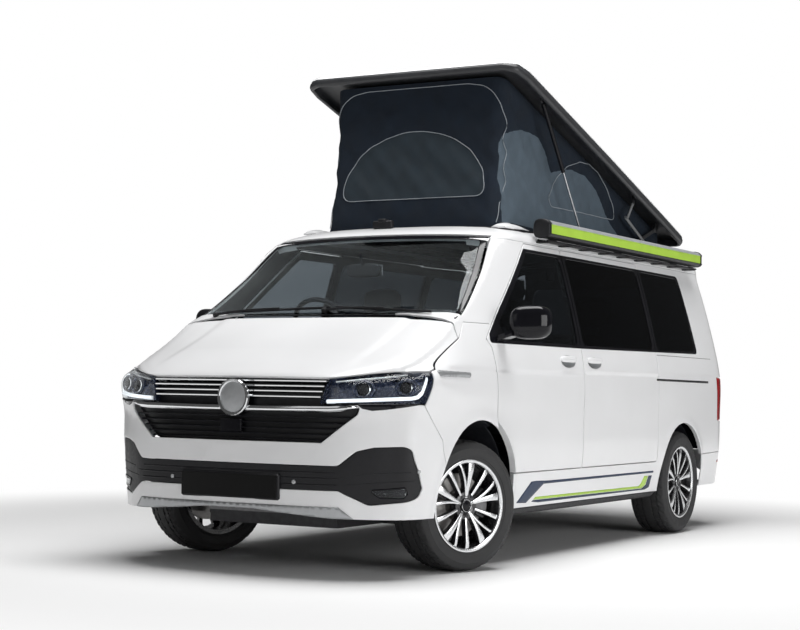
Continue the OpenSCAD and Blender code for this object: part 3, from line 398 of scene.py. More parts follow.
def rim_edges(tri):
    """Edges with one triangle, turned the way their triangle runs, and that triangle's number."""
    e = np.concatenate([tri[:, [0, 1]], tri[:, [1, 2]], tri[:, [2, 0]]])
    owner = np.tile(np.arange(len(tri)), 3)
    key = np.sort(e, 1)
    code = key[:, 0].astype(np.int64) * (key.max() + 1) + key[:, 1]
    _, first, count = np.unique(code, return_index=True, return_counts=True)
    pick = first[count == 1]
    return e[pick], owner[pick]


def build(name, verts, faces, mats, index=None, normals=None, smooth=True, sharp=35.0):
    """A mesh object in metres from points in mm."""
    me = bpy.data.meshes.new(name)
    me.from_pydata((np.asarray(verts, float) * MM).tolist(), [], [list(f) for f in faces])
    for m in mats:
        me.materials.append(m)
    if index is not None:
        me.polygons.foreach_set("material_index", np.asarray(index, np.int32))
    me.polygons.foreach_set("use_smooth", np.full(len(me.polygons), smooth))
    me.update()
    if normals is not None:
        me.normals_split_custom_set(np.asarray(normals, float).tolist())
    elif smooth:
        me.set_sharp_from_angle(angle=math.radians(sharp))
    ob = bpy.data.objects.new(name, me)
    bpy.context.scene.collection.objects.link(ob)
    return ob


def panel(name, parts, thick, mats, lift=0.0, roll=1.5, both=False, flip=False, tint=None):
    """A closed panel from laid regions: outer skin, inner skin (second material) and walls.

    tint is an outline in the side view whose faces take the third material."""
    verts, faces, index, normals = [], [], [], []
    todo = [(p, n, t, 1.0) for p, n, t in parts]
    if both:
        todo += [(p, n, t, -1.0) for p, n, t in parts]
    if flip:
        todo = [(p, n, t, -1.0) for p, n, t in parts]
    for p, n, t, sgn in todo:
        m = np.array([1.0, sgn, 1.0])
        p = p * m
        n = n * m
        t = t if sgn > 0 else t[:, ::-1]
        e, own = rim_edges(t)
        third = t[own].sum(1) - e.sum(1)
        away = (p[e[:, 0]] + p[e[:, 1]]) / 2 - p[third]
        along = p[e[:, 1]] - p[e[:, 0]]
        along /= np.maximum(np.linalg.norm(along, axis=1, keepdims=True), 1e-9)
        away -= along * np.sum(away * along, 1, keepdims=True)
        push = np.zeros_like(p)
        np.add.at(push, e[:, 0], away)
        np.add.at(push, e[:, 1], away)
        size = np.linalg.norm(push, axis=1, keepdims=True)
        edge = size[:, 0] > 1e-9
        push /= np.maximum(size, 1e-9)
        edge &= np.abs(p[:, 1]) > 1.0
        on = p + n * lift
        on[edge] -= n[edge] * roll
        lit = n.copy()
        if roll:
            lit[edge] = n[edge] * 0.6 + push[edge] * 0.8
        back = p + n * (lift - thick)
        base = len(verts)
        count = len(p)
        verts += on.tolist() + back.tolist()
        faces += (t + base).tolist() + (t[:, ::-1] + base + count).tolist()
        out_index = np.zeros(len(t), int)
        if tint is not None:
            out_index[inside(tint, p[t].mean(1)[:, [0, 2]])] = 2
        index += out_index.tolist() + [1 if len(mats) > 1 else 0] * len(t)
        normals += lit[t.ravel()].tolist() + (-n[t[:, ::-1].ravel()]).tolist()
        wall = np.stack([e[:, 1], e[:, 0], e[:, 0] + count, e[:, 1] + count], 1)
        out = np.repeat(away / np.maximum(np.linalg.norm(away, axis=1, keepdims=True), 1e-9), 4, 0)
        faces += (wall + base).tolist()
        index += out_index[own].tolist()
        normals += out.tolist()
    return build(name, verts, faces, mats, index, normals)


def mat(name, base, rough, metal=0.0, var=0.05, scale=30.0, bump=0.0, fine=400.0, stretch=(1, 1, 1),
        **sockets):
    """Procedural surface: slow colour drift, uneven gloss and a fine bump."""
    m = bpy.data.materials.new(name)
    m.use_nodes = True
    nt = m.node_tree
    b = nt.nodes["Principled BSDF"]
    b.inputs["Metallic"].default_value = metal
    for key, value in sockets.items():
        b.inputs[key.replace("_", " ")].default_value = value
    tc = nt.nodes.new("ShaderNodeTexCoord")
    mp = nt.nodes.new("ShaderNodeMapping")
    mp.inputs["Scale"].default_value = stretch
    nt.links.new(tc.outputs["Object"], mp.inputs["Vector"])
    drift = nt.nodes.new("ShaderNodeTexNoise")
    drift.inputs["Scale"].default_value = scale
    drift.inputs["Detail"].default_value = 4.0
    nt.links.new(mp.outputs["Vector"], drift.inputs["Vector"])
    ramp = nt.nodes.new("ShaderNodeValToRGB")
    ramp.color_ramp.elements[0].position = 0.3
    ramp.color_ramp.elements[1].position = 0.7
    ramp.color_ramp.elements[0].color = tuple(c * (1 - var) for c in base) + (1,)
    ramp.color_ramp.elements[1].color = tuple(min(1.0, c * (1 + var)) for c in base) + (1,)
    nt.links.new(drift.outputs["Fac"], ramp.inputs["Fac"])
    nt.links.new(ramp.outputs["Color"], b.inputs["Base Color"])
    grain = nt.nodes.new("ShaderNodeTexNoise")
    grain.inputs["Scale"].default_value = fine
    grain.inputs["Detail"].default_value = 3.0
    nt.links.new(mp.outputs["Vector"], grain.inputs["Vector"])
    gloss = nt.nodes.new("ShaderNodeMapRange")
    gloss.inputs["From Min"].default_value = 0.25
    gloss.inputs["From Max"].default_value = 0.75
    gloss.inputs["To Min"].default_value = max(0.0, rough * 0.82)
    gloss.inputs["To Max"].default_value = min(1.0, rough * 1.18)
    nt.links.new(drift.outputs["Fac"], gloss.inputs["Value"])
    nt.links.new(gloss.outputs["Result"], b.inputs["Roughness"])
    if bump:
        bp = nt.nodes.new("ShaderNodeBump")
        bp.inputs["Strength"].default_value = 1.0
        bp.inputs["Distance"].default_value = bump * MM
        nt.links.new(grain.outputs["Fac"], bp.inputs["Height"])
        nt.links.new(bp.outputs["Normal"], b.inputs["Normal"])
    return m


def weave(m, pitch, depth, light=1.25):
    """Add a woven bump and a two-tone thread pattern to a material."""
    nt = m.node_tree
    b = nt.nodes["Principled BSDF"]
    tc = nt.nodes.new("ShaderNodeTexCoord")
    waves = []
    for axes in ((0.0, 0.7, 0.7), (0.9, 0.3, -0.3)):
        dot = nt.nodes.new("ShaderNodeVectorMath")
        dot.operation = "DOT_PRODUCT"
        dot.inputs[1].default_value = tuple(a * 6.2832 / (pitch * MM) for a in axes)
        nt.links.new(tc.outputs["Object"], dot.inputs[0])
        sine = nt.nodes.new("ShaderNodeMath")
        sine.operation = "SINE"
        nt.links.new(dot.outputs["Value"], sine.inputs[0])
        waves.append(sine)
    cross = nt.nodes.new("ShaderNodeMath")
    cross.operation = "MULTIPLY"
    nt.links.new(waves[0].outputs[0], cross.inputs[0])
    nt.links.new(waves[1].outputs[0], cross.inputs[1])
    bp = nt.nodes.new("ShaderNodeBump")
    bp.inputs["Distance"].default_value = depth * MM
    nt.links.new(cross.outputs[0], bp.inputs["Height"])
    nt.links.new(bp.outputs["Normal"], b.inputs["Normal"])
    tint = nt.nodes.new("ShaderNodeMapRange")
    tint.inputs["From Min"].default_value = -1.0
    tint.inputs["To Min"].default_value = 0.85
    tint.inputs["To Max"].default_value = light
    nt.links.new(cross.outputs[0], tint.inputs["Value"])
    old = b.inputs["Base Color"].links[0].from_socket
    mul = nt.nodes.new("ShaderNodeMix")
    mul.data_type = "RGBA"
    mul.blend_type = "MULTIPLY"
    mul.inputs["Factor"].default_value = 1.0
    nt.links.new(old, mul.inputs["A"])
    nt.links.new(tint.outputs["Result"], mul.inputs["B"])
    nt.links.new(mul.outputs["Result"], b.inputs["Base Color"])
    return m


PAINT = mat("white_paint_visual", (0.80, 0.802, 0.81), 0.34, var=0.012, scale=3.0, Coat_Weight=0.5,
            Coat_Roughness=0.14,
            Specular_IOR_Level=0.4)
GLOSS = mat("black_gloss", (0.006, 0.006, 0.008), 0.10, var=0.2, scale=8.0, Specular_IOR_Level=0.28)
PLASTIC = mat("black_plastic_visual", (0.011, 0.011, 0.013), 0.46, var=0.15, scale=60.0, bump=0.05,
              fine=900.0,
              Specular_IOR_Level=0.3)
GRILLE = mat("grille_black_visual", (0.007, 0.007, 0.009), 0.34, var=0.2, scale=40.0,
             Specular_IOR_Level=0.3)
CHROME = mat("bright_chrome", (0.78, 0.79, 0.80), 0.10, metal=1.0, var=0.03, scale=20.0)
SILVER = mat("silver_lip", (0.42, 0.43, 0.44), 0.34, metal=0.55, var=0.05, scale=40.0, bump=0.02,
             fine=800.0)
ALLOY = mat("machined_alloy", (0.74, 0.75, 0.76), 0.24, metal=0.9, var=0.04, scale=60.0, bump=0.015,
            fine=1500.0)
ALLOY_BLACK = mat("painted_alloy_black", (0.018, 0.018, 0.020), 0.28, var=0.15, scale=50.0, Coat_Weight=0.5,
                  Coat_Roughness=0.08)
RUBBER = mat("tyre_rubber_visual", (0.028, 0.028, 0.029), 0.72, var=0.18, scale=30.0, bump=0.12, fine=600.0)
CLEAR = mat("clear_glass_visual", (0.72, 0.78, 0.80), 0.012, var=0.01, scale=2.0, Transmission_Weight=1.0,
            IOR=1.2)
TINTED = mat("tinted_glass_visual", (0.10, 0.115, 0.13), 0.02, var=0.03, scale=2.0, Transmission_Weight=1.0,
             IOR=1.15)
PRIVACY = mat("privacy_glass", (0.012, 0.015, 0.019), 0.02, var=0.03, scale=2.0, Transmission_Weight=1.0,
             IOR=1.15)
LENS = mat("lamp_lens", (0.93, 0.95, 0.96), 0.012, var=0.01, scale=10.0, Transmission_Weight=1.0, IOR=1.12)
LAMP_IN = mat("lamp_inside", (0.016, 0.022, 0.044), 0.26, var=0.3, scale=60.0)
DRL = mat("lamp_light_bar", (0.80, 0.83, 0.86), 0.25, var=0.05, scale=200.0, bump=0.1, fine=600.0,
          Emission_Color=(0.9, 0.95, 1.0, 1.0), Emission_Strength=0.5)
RED = mat("lamp_red_visual", (0.30, 0.006, 0.008), 0.22, var=0.25, scale=60.0, Specular_IOR_Level=0.35)
LIME = mat("lime_case_visual", (0.45, 0.69, 0.075), 0.36, var=0.05, scale=10.0, bump=0.03, fine=300.0,
           Coat_Weight=0.3, Coat_Roughness=0.15)
NAVY = mat("navy_stripe", (0.026, 0.042, 0.085), 0.40, var=0.1, scale=20.0, Specular_IOR_Level=0.3)
LID = mat("lid_dark_visual", (0.030, 0.031, 0.034), 0.40, var=0.12, scale=20.0, bump=0.05, fine=500.0)
CANVAS = weave(mat("canvas_visual", (0.013, 0.019, 0.029), 0.86, var=0.16, scale=9.0,
                   Specular_IOR_Level=0.2), 2.6, 0.4)
FILM = weave(mat("film_window", (0.020, 0.030, 0.039), 0.70, var=0.16, scale=12.0, Specular_IOR_Level=0.3),
             3.0, 0.3)
MESH = weave(mat("mesh_window", (0.085, 0.112, 0.138), 0.80, var=0.12, scale=14.0, Specular_IOR_Level=0.2),
             3.4, 0.5, 1.4)
PIPING = mat("piping", (0.30, 0.33, 0.36), 0.7, var=0.1, scale=200.0, bump=0.2, fine=900.0)
TRIM_IN = mat("interior_dark_visual", (0.011, 0.012, 0.016), 0.62, var=0.15, scale=50.0, bump=0.06,
              fine=900.0,
              Specular_IOR_Level=0.25)
LINER = mat("headliner", (0.020, 0.020, 0.024), 0.85, var=0.08, scale=60.0, bump=0.15, fine=900.0)
FABRIC = weave(mat("seat_fabric_visual", (0.026, 0.027, 0.032), 0.88, var=0.15, scale=25.0), 3.2, 0.5)
WOOD = mat("furniture_visual", (0.46, 0.44, 0.41), 0.45, var=0.12, scale=9.0, bump=0.05, fine=200.0,
           stretch=(0.2, 1, 3))
STEEL = mat("dark_steel_visual", (0.050, 0.050, 0.053), 0.55, metal=0.5, var=0.25, scale=30.0, bump=0.15,
            fine=400.0)
CAST = mat("cast_metal_visual", (0.20, 0.20, 0.205), 0.48, metal=0.75, var=0.2, scale=50.0, bump=0.2,
           fine=500.0)
ROD = mat("polished_rod_visual", (0.62, 0.63, 0.65), 0.12, metal=1.0, var=0.03, scale=60.0,
          stretch=(1, 1, 0.1))
DISC = mat("brake_disc", (0.34, 0.33, 0.32), 0.34, metal=0.9, var=0.12, scale=90.0, bump=0.05, fine=900.0)
AWNING_TOP = mat("awning_grey", (0.30, 0.31, 0.32), 0.40, var=0.06, scale=20.0, bump=0.03, fine=500.0)
PLATE = mat("plate_black", (0.003, 0.003, 0.003), 0.40, var=0.2, scale=50.0, Specular_IOR_Level=0.15)


# Outlines in the side view (x, z), left side
def pillar_x(z):
    return FA - 136 - (z - BELT_Z) / 0.80


ARCH_FRONT = ring(FA, ARCH_Z, FRONT_ARCH_R)
ARCH_REAR = ring(RA, AXLE_Z, REAR_ARCH_R)
ARCH_DOOR = ring(FA, ARCH_Z, FRONT_ARCH_R + 31)
DOOR = rounded([[DOOR_X0, SILL_Z], [DOOR_X1, SILL_Z], [DOOR_X1, 800], [DOOR_X1 + 24, BELT_Z - 40],
                [pillar_x(BELT_Z), BELT_Z], [pillar_x(RAIL_Z), RAIL_Z], [DOOR_X0, RAIL_Z]], 14)
SLIDE = rounded([[SLIDE_X0, SILL_Z], [DOOR_X0 - 6, SILL_Z], [DOOR_X0 - 6, RAIL_Z], [SLIDE_X0, RAIL_Z]], 14)
WIN_FRONT = rounded([[DOOR_X0 + 36, BELT_Z], [1208, BELT_Z], [pillar_x(BELT_Z + 96) - 66, BELT_Z + 96],
                     [pillar_x(TOP_Z) - 66, TOP_Z], [DOOR_X0 + 36, TOP_Z]], 28)
WIN_MID = rounded([[SLIDE_X0 + 44, BELT_Z], [DOOR_X0 - 42, BELT_Z], [DOOR_X0 - 42, TOP_Z],
                   [SLIDE_X0 + 44, TOP_Z]], 40)
WIN_REAR = rounded([[-1746, BELT_Z + 10], [SLIDE_X0 - 36, BELT_Z], [SLIDE_X0 - 36, TOP_Z],
                    [-1710, TOP_Z - 6]], 48)
BAND = rounded([[-1784, BELT_Z - 6], [DOOR_X0, BELT_Z - 20], [pillar_x(BELT_Z) - 26, BELT_Z - 20],
                [pillar_x(BELT_Z + 30) - 6, BELT_Z + 30], [pillar_x(TOP_Z + 20) - 10, TOP_Z + 20],
                [-1736, TOP_Z + 14]], 34)
up = np.linspace(1300, 1812, 60)
SCREEN_EDGE = np.stack([np.interp(up, [1300, 1812], [860, 704]), up], 1)
screen_line = drop("front", SCREEN_EDGE)[0]
SCREEN_SIDE = np.concatenate([screen_line[:, [0, 2]] - [4, 0], [[FAR, 1812], [FAR, 1300]]])
up = np.linspace(556, 1796, 80)
TAIL_EDGE = np.stack([np.interp(up, [556, 1060, 1780, 3000], [802, 802, 672, 652]), up], 1)
tail_line = drop("rear", TAIL_EDGE + [8, 0])[0]
TAIL_SIDE = np.concatenate([tail_line[:, [0, 2]], [[-FAR, 1796], [-FAR, 556]]])
LAMP_REAR_SIDE = np.array([[-FAR, 750], [-2152, 750], [-2122, 1056], [-FAR, 1056]], float)
BUMP_REAR_SIDE = np.array([[-FAR, 200], [-1756, 200], [-1816, 520], [-FAR, 545]], float)
SIDE_ALL = np.array([[-2480, 298.5], [DOOR_X1 - 10, 298.5], [DOOR_X1 - 10, 1303], [FA + 60, 1303],
                     [FA + 60, 1796], [-2480, 1796]], float)
FENDER = np.array([[DOOR_X1 + 5, 480], [FA + 600, 480], [FA + 600, 1030], [FA + 536, 1031],
                   [FA + 490, 1047],
                   [1690, 1214], [1597, 1300], [pillar_x(1300) + 6, 1300], [pillar_x(BELT_Z) + 7, 1218],
                   [DOOR_X1 + 30, BELT_Z - 42], [DOOR_X1 + 5, 800]], float)
BUMP_SIDE = np.array([[FA + 322, 298], [FA + 410, 690], [FA + 592, 868], [FAR, 862], [FAR, 200],
                      [FA + 322, 200]], float)
LAMP_SIDE = np.array([[FA + 512, 1096], [FA + 590, 842], [FAR, 842], [FAR, 1096]], float)


def not_in(q, *polys):
    ok = np.ones(len(q), bool)
    for p in polys:
        ok &= ~inside(p, q)
    return ok


def side_body(cuts):
    """Laid region of the fixed body side, without the openings in cuts."""
    holes = [grow(DOOR, 5), ARCH_FRONT, ARCH_REAR, WIN_REAR, SCREEN_SIDE, TAIL_SIDE,
             grow(LAMP_REAR_SIDE, 2),
             grow(BUMP_REAR_SIDE, 2)] + cuts
    return region("side", [SIDE_ALL, BAND] + holes, lambda q: inside(SIDE_ALL, q) & not_in(q, *holes), 22)


def put(ob, body, slot, *nodes):
    """Ride on a body and stand for CAD nodes, hiding them; slot is not used."""
    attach(ob, body)
    if nodes:
        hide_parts(*nodes)
    return ob


SKIN = [PAINT, TRIM_IN, GLOSS]
left_side = side_body([grow(SLIDE, 5)])
put(panel("body_side_left_skin", [left_side], 26, SKIN, tint=BAND), "body", "white_paint", "body_side_left")
right_side = side_body([WIN_MID])
put(panel("body_side_right_skin", [right_side], 26, SKIN, tint=BAND, flip=True), "body", "white_paint",
    "body_side_right")
GRIP_FRONT = ring(0, 0, 1, 60) * [98, 35] + [424, 1117]
GRIP_SLIDE = ring(0, 0, 1, 60) * [98, 35] + [42, 1117]
door = region("side", [DOOR, ARCH_DOOR, WIN_FRONT, BAND, GRIP_FRONT],
              lambda q: inside(DOOR, q) & not_in(q, ARCH_DOOR, WIN_FRONT, GRIP_FRONT), 20)
put(panel("front_door_left_skin", [door], 34, SKIN, tint=BAND), "front_door_left", "white_paint",
    "front_door_left")
put(panel("front_door_right_skin", [door], 34, SKIN, tint=BAND, flip=True), "front_door_right",
    "white_paint",
    "front_door_right")
slide = region("side", [SLIDE, WIN_MID, BAND, GRIP_SLIDE],
               lambda q: inside(SLIDE, q) & not_in(q, WIN_MID, GRIP_SLIDE), 20)
put(panel("sliding_door_skin", [slide], 34, SKIN, tint=BAND), "body", "white_paint", "sliding_door")


def pane(view, outline, inset=1.5):
    o = grow(outline, -inset)
    return region(view, [o], lambda q: inside(o, q), 40, ring_in=0)


front_pane = pane("side", WIN_FRONT)
put(panel("door_pane_left", [front_pane], 5, [TINTED], lift=-3, roll=0), "front_door_left", "clear_glass",
    "door_glass_left")
put(panel("door_pane_right", [front_pane], 5, [TINTED], lift=-3, roll=0, flip=True), "front_door_right",
    "clear_glass",
    "door_glass_right")
put(panel("side_panes", [pane("side", WIN_MID), pane("side", WIN_REAR)], 5, [PRIVACY], lift=-3, roll=0,
          both=True),
    "body", "tinted_glass", "side_glass")

ty = np.linspace(690, -690, 30)
foot = drop("top", np.stack([np.full(41, 1660.0), np.linspace(-800, 800, 41)], 1))[0][:, 1:]
foot[:, 1] = np.maximum(1300, foot[:, 1])
SCREEN = np.concatenate([SCREEN_EDGE, np.stack([ty, 1832 - 20 * (ty / 704) ** 2], 1),
                         SCREEN_EDGE[::-1] * [-1, 1], foot])
ty = np.linspace(672, -672, 30)
SCREEN_IN = np.concatenate([[[836, 1296]], np.stack([ty, 1806 - 22 * (ty / 672) ** 2], 1), [[-836, 1296]]])
SCREEN_IN = rounded(SCREEN_IN, 40)
put(panel("windscreen_pane", [pane("front", SCREEN, 3)], 6, [CLEAR], lift=-2, roll=0), "body",
    "clear_glass", "windscreen")
frit_out = grow(SCREEN, -4)
frit = region("front", [frit_out, SCREEN_IN], lambda q: inside(frit_out, q) & not_in(q, SCREEN_IN), 40)
put(panel("windscreen_border", [frit], 1.2, [GLOSS], lift=-0.6, roll=0.4), "body", "black_plastic")


# Bonnet, its left half seen from above the shoulder: front edge over the lamps, side line down the flank
def edge_z(y):
    """Height of the bonnet's front edge across the car."""
    return np.interp(np.abs(y), [0, 540, 862, 3000], [996, 996, 1036, 1076])


SIDE_LINE = [[2076, 1037], [FA + 492, 1052], [1706, 1212]]


def rear_x(y):
    """Rear edge of the bonnet's form, bowed forward in the middle."""
    return 1690 - 100 * (np.abs(y) / 862) ** 2.2


yy = np.linspace(0, 912, 50)
middle = drop("top", np.stack([np.linspace(1705, 2396, 60), np.zeros(60)], 1))[0]
nose_edge = drop("front", np.stack([yy, edge_z(yy)], 1))[0]
back = drop("top", np.stack([np.full(40, 1705.0), np.linspace(838, 0, 40)], 1))[0]
BONNET = np.concatenate([flat("over", nose_edge), lay("side", "over", SIDE_LINE),
                         lay("side", "over", [[1705, 1214], [1705, 1266]]), flat("over", back),
                         flat("over", middle)])
bonnet = region("over", [BONNET], lambda q: inside(BONNET, q), 16)
put(panel("bonnet_skin", [bonnet], 14, [PAINT, PAINT], both=True, roll=1.0), "bonnet", "white_paint",
    "bonnet")

# Scuttle: the fixed strip behind the bonnet's cut, up to the edge over the wipers
yy = np.linspace(838, 490, 40)
back = drop("top", np.stack([np.interp(yy, [490, 620, 700, 800, 838], [1663, 1664, 1669, 1683, 1692]), yy],
                            1))[0]
yy = np.linspace(490, 850, 50)
rear_edge = drop("top", np.stack([rear_x(yy), yy], 1))[0]
SCUTTLE = np.concatenate([flat("over", rear_edge),
                          lay("side", "over", [[1592, 1304], [1690, 1220], [1700, 1216]]),
                          lay("side", "over", [[1700, 1218], [1696, 1262]]), flat("over", back)])
scuttle = region("over", [SCUTTLE], lambda q: inside(SCUTTLE, q), 20)
put(panel("scuttle_skin", [scuttle], 10, [PAINT, PLASTIC], both=True, roll=0.8), "body", "white_paint")

# Fenders, below the bonnet's side line
holes = [ARCH_FRONT, grow(BUMP_SIDE, 2.5), grow(LAMP_SIDE, 2.5)]
fender = region("side", [FENDER] + holes, lambda q: inside(FENDER, q) & not_in(q, *holes), 20)
put(panel("fender_skins", [fender], 8, [PAINT], both=True), "body", "white_paint", "fenders")

# Nose, in the wrapped view
GRILLE_OUT = np.array([[-538, 990], [-504, 866], [-706, 856], [-690, 815], [-521, 677], [521, 677],
                       [690, 815],
                       [706, 856], [504, 866], [538, 990]], float)
TRIM_HALF = np.array([[606, 442], [735, 372], [900, 392], [916, 455], [916, 540], [902, 645], [876, 660],
                      [760, 655],
                      [690, 636], [606, 562]], float)
TRIM_OUT = np.concatenate([TRIM_HALF, TRIM_HALF[::-1] * [-1, 1]])
GRILLE_OUT = rounded(GRILLE_OUT, 20, 5)
TRIM_OUT = rounded(TRIM_OUT, 44, 6)
grille_nose = carry("front", "nose", GRILLE_OUT)
trim_nose = carry("front", "nose", TRIM_OUT)
side_pts = [[FA + 322, 300], [FA + 410, 690], [FA + 590, 866]]
left_pts = flat("nose", drop("side", path(side_pts, 20))[0])
under = flat("nose", drop("front", np.stack([np.linspace(900, 700, 20), np.linspace(867, 862, 20)], 1))[0])
sole = MP[MX > FA + 330, 0]
sole = np.concatenate([sole, [[2452.0, y, 336.0] for y in (100, 50)]])
sole = flat("nose", sole) + [0, 3]
half = np.concatenate([sole[::-1], left_pts, under])
BUMPER = np.concatenate([half, mirror(half)])
arch_nose = carry("side", "nose", ARCH_FRONT[np.r_[-4:52]] + [0, 0])
cut_nose = [grow(grille_nose, 3), grow(trim_nose, 2), grow(arch_nose, 0), mirror(arch_nose)]
bumper = region("nose", [BUMPER] + cut_nose, lambda q: inside(BUMPER, q) & not_in(q, *cut_nose), 16)
put(panel("front_bumper_skin", [bumper], 8, [PAINT]), "body", "white_paint", "front_bumper")
trim = region("nose", [trim_nose], lambda q: inside(trim_nose, q), 16)
put(panel("bumper_trim_skin", [trim], 8, [PLASTIC], lift=-5, roll=4), "body", "black_plastic",
    "bumper_trim")
grille_back = region("nose", [grille_nose], lambda q: inside(grille_nose, q), 24, ring_in=0)
put(panel("grille_back", [grille_back], 6, [GRILLE], lift=-40, roll=0), "body", "grille_black", "grille")

# Headlamps
top_pts = np.stack([np.linspace(540, 850, 24), edge_z(np.linspace(540, 850, 24)) - 6], 1)
low_pts = np.stack([np.linspace(905, 508, 30), np.linspace(872, 868, 30)], 1)
out_pts = np.stack([np.linspace(FA + 532, FA + 580, 10), np.linspace(1031, 874, 10)], 1)
LAMP = np.concatenate([flat("nose", drop("front", top_pts)[0]), flat("nose", drop("side", out_pts)[0]),
                       flat("nose", drop("front", low_pts)[0])])
lamp = region("nose", [LAMP], lambda q: inside(LAMP, q), 14)
put(panel("headlamp_lenses", [lamp], 4, [LENS], lift=-1, roll=1, both=True), "body", "lamp_clear",
    "headlamps")
put(panel("headlamp_bowls", [region("nose", [LAMP], lambda q: inside(LAMP, q), 20)], 3, [LAMP_IN], lift=-46,
          roll=0,
          both=True), "body", "interior_dark")

# Tailgate, rear lamps and rear bumper
GATE_TOP = drop("top", np.stack([np.full(30, -2280.0), np.linspace(-655, 655, 30)], 1))[0][:, [1, 2]]
GATE = np.concatenate([[[802, 556], [802, 1060]], [[672, 1780]], GATE_TOP[::-1] - [0, 2], [[-672, 1780]],
                       [[-802, 1060], [-802, 556]]])
GATE_WIN = rounded([[-702, BELT_Z], [702, BELT_Z], [602, 1718], [-602, 1718]], 60)
gate = region("rear", [GATE, GATE_WIN], lambda q: inside(GATE, q) & not_in(q, GATE_WIN), 22)
put(panel("tailgate_skin", [gate], 30, [PAINT, TRIM_IN]), "tailgate", "white_paint", "tailgate")
put(panel("tailgate_pane", [pane("rear", GATE_WIN)], 5, [PRIVACY], lift=-4, roll=0), "tailgate",
    "tinted_glass",
    "tailgate_glass")
low = tail_line[(tail_line[:, 2] > 752) & (tail_line[:, 2] < 1054)]
front_side = np.stack([np.linspace(-2152, -2122, 16), np.linspace(752, 1054, 16)], 1)
LAMP_REAR = np.concatenate([flat("tail", low), flat("tail", drop("side", front_side)[0])[::-1]])
rear_lamp = region("tail", [LAMP_REAR], lambda q: inside(LAMP_REAR, q), 14)
put(panel("tail_lamp_lenses", [rear_lamp], 20, [RED], both=True), "body", "lamp_red", "tail_lamps")
ss = np.linspace(1250, -1250, 120)
half_top = drop("tail", np.stack([ss, np.full(120, 525.0)], 1))[0]
bump_top = np.stack([ss, 519 + 25 * (-1816 - half_top[:, 0]) / 1184], 1)
front_low = np.stack([np.linspace(-1758, -1815, 16), np.linspace(299, 518, 16)], 1)
left_low = flat("tail", drop("side", front_low)[0])
bump_top = bump_top[np.abs(bump_top[:, 0]) < left_low[-1, 0]]
sole = flat("tail", MP[MX < -1760, 0]) + [0, 3]
sole = np.concatenate([sole, [[0, 433]]])
sole = sole[sole[:, 0].argsort()]
BUMP_REAR = np.concatenate([sole, left_low, bump_top, mirror(left_low), mirror(sole)])
arch_tail = carry("side", "tail", ARCH_REAR)
cut_tail = [arch_tail, mirror(arch_tail)]
rear_bumper = region("tail", [BUMP_REAR] + cut_tail, lambda q: inside(BUMP_REAR, q) & not_in(q, *cut_tail),
                     20)
put(panel("rear_bumper_skin", [rear_bumper], 8, [PAINT]), "body", "white_paint", "rear_bumper")


# Roof: plan view over the middle, side view for the turned-down edges
LID_X0, LID_X1, LID_W = -2090.0, 800.0, 1470.0
yy = np.linspace(0, 704, 50)
front_top = drop("front", np.stack([yy, 1836 - 20 * (yy / 704) ** 2], 1))[0]
mid_x = np.linspace(-2267, front_top[0, 0], 160)
middle = drop("top", np.stack([mid_x, np.zeros(160)], 1))[0]
rear_top = drop("top", np.stack([np.full(40, -2267.0), np.linspace(690, 0, 40)], 1))[0]
ROOF = np.concatenate([flat("over", front_top), flat("over", screen_line[-2::-1][:4]),
                       lay("side", "over", [[screen_line[-6, 0] - 6, 1798], [-2267, 1798]], 30),
                       flat("over", rear_top),
                       flat("over", middle[1:])])
w = LID_W / 2 - 40
LID_HOLE = rounded([[LID_X0 - 8, w - 40], [LID_X0 + 60, w], [LID_X1 - 212, w], [LID_X1 - 54, w - 60],
                    [LID_X1 + 8, w - 220], [LID_X1 + 8, 220 - w], [LID_X1 - 54, 60 - w], [LID_X1 - 212, -w],
                    [LID_X0 + 60, -w], [LID_X0 - 8, 40 - w]], 30)
HOLE_OVER = carry("top", "over", LID_HOLE, 16)
roof = region("over", [ROOF, HOLE_OVER], lambda q: inside(ROOF, q) & not_in(q, HOLE_OVER), 24)
put(panel("roof_skin", [roof], 46, [PAINT, LINER], both=True), "body", "white_paint", "roof_panel")


def plate_mesh(name, outer, holes, z0, z1, mats, step=60.0):
    """Flat plate between two heights from a plan outline with holes."""
    pts, con = [], []
    for lp in [outer] + holes:
        r = resample(lp, step)
        con += [(len(pts) + i, len(pts) + (i + 1) % len(r)) for i in range(len(r))]
        pts += r.tolist()
    out = delaunay_2d_cdt([Vector(q) for q in pts], con, [], 0, 1e-3)
    co = np.array([tuple(v) for v in out[0]])
    tri = np.array([f for f in out[2] if len(f) == 3])
    mid = co[tri].mean(1)
    tri = tri[inside(outer, mid) & not_in(mid, *holes)]
    k = np.cross(co[tri[:, 1]] - co[tri[:, 0]], co[tri[:, 2]] - co[tri[:, 0]])
    tri[k < 0] = tri[k < 0][:, ::-1]
    n = len(co)
    verts = [[x, y, z1] for x, y in co] + [[x, y, z0] for x, y in co]
    e, _ = rim_edges(tri)
    sides = np.stack([e[:, 1], e[:, 0], e[:, 0] + n, e[:, 1] + n], 1)
    faces = tri.tolist() + (tri[:, ::-1] + n).tolist() + sides.tolist()
    return build(name, verts, faces, mats)


opening = rounded([[LID_X0 + 160, -540], [LID_X0 + 160 + 0.8 * 2890, -540],
                   [LID_X0 + 160 + 0.8 * 2890, 540],
                   [LID_X0 + 160, 540]], 60)
put(plate_mesh("roof_recess_floor", grow(LID_HOLE, 20), [opening], 1862, 1880, [PLASTIC]), "body",
    "black_plastic")

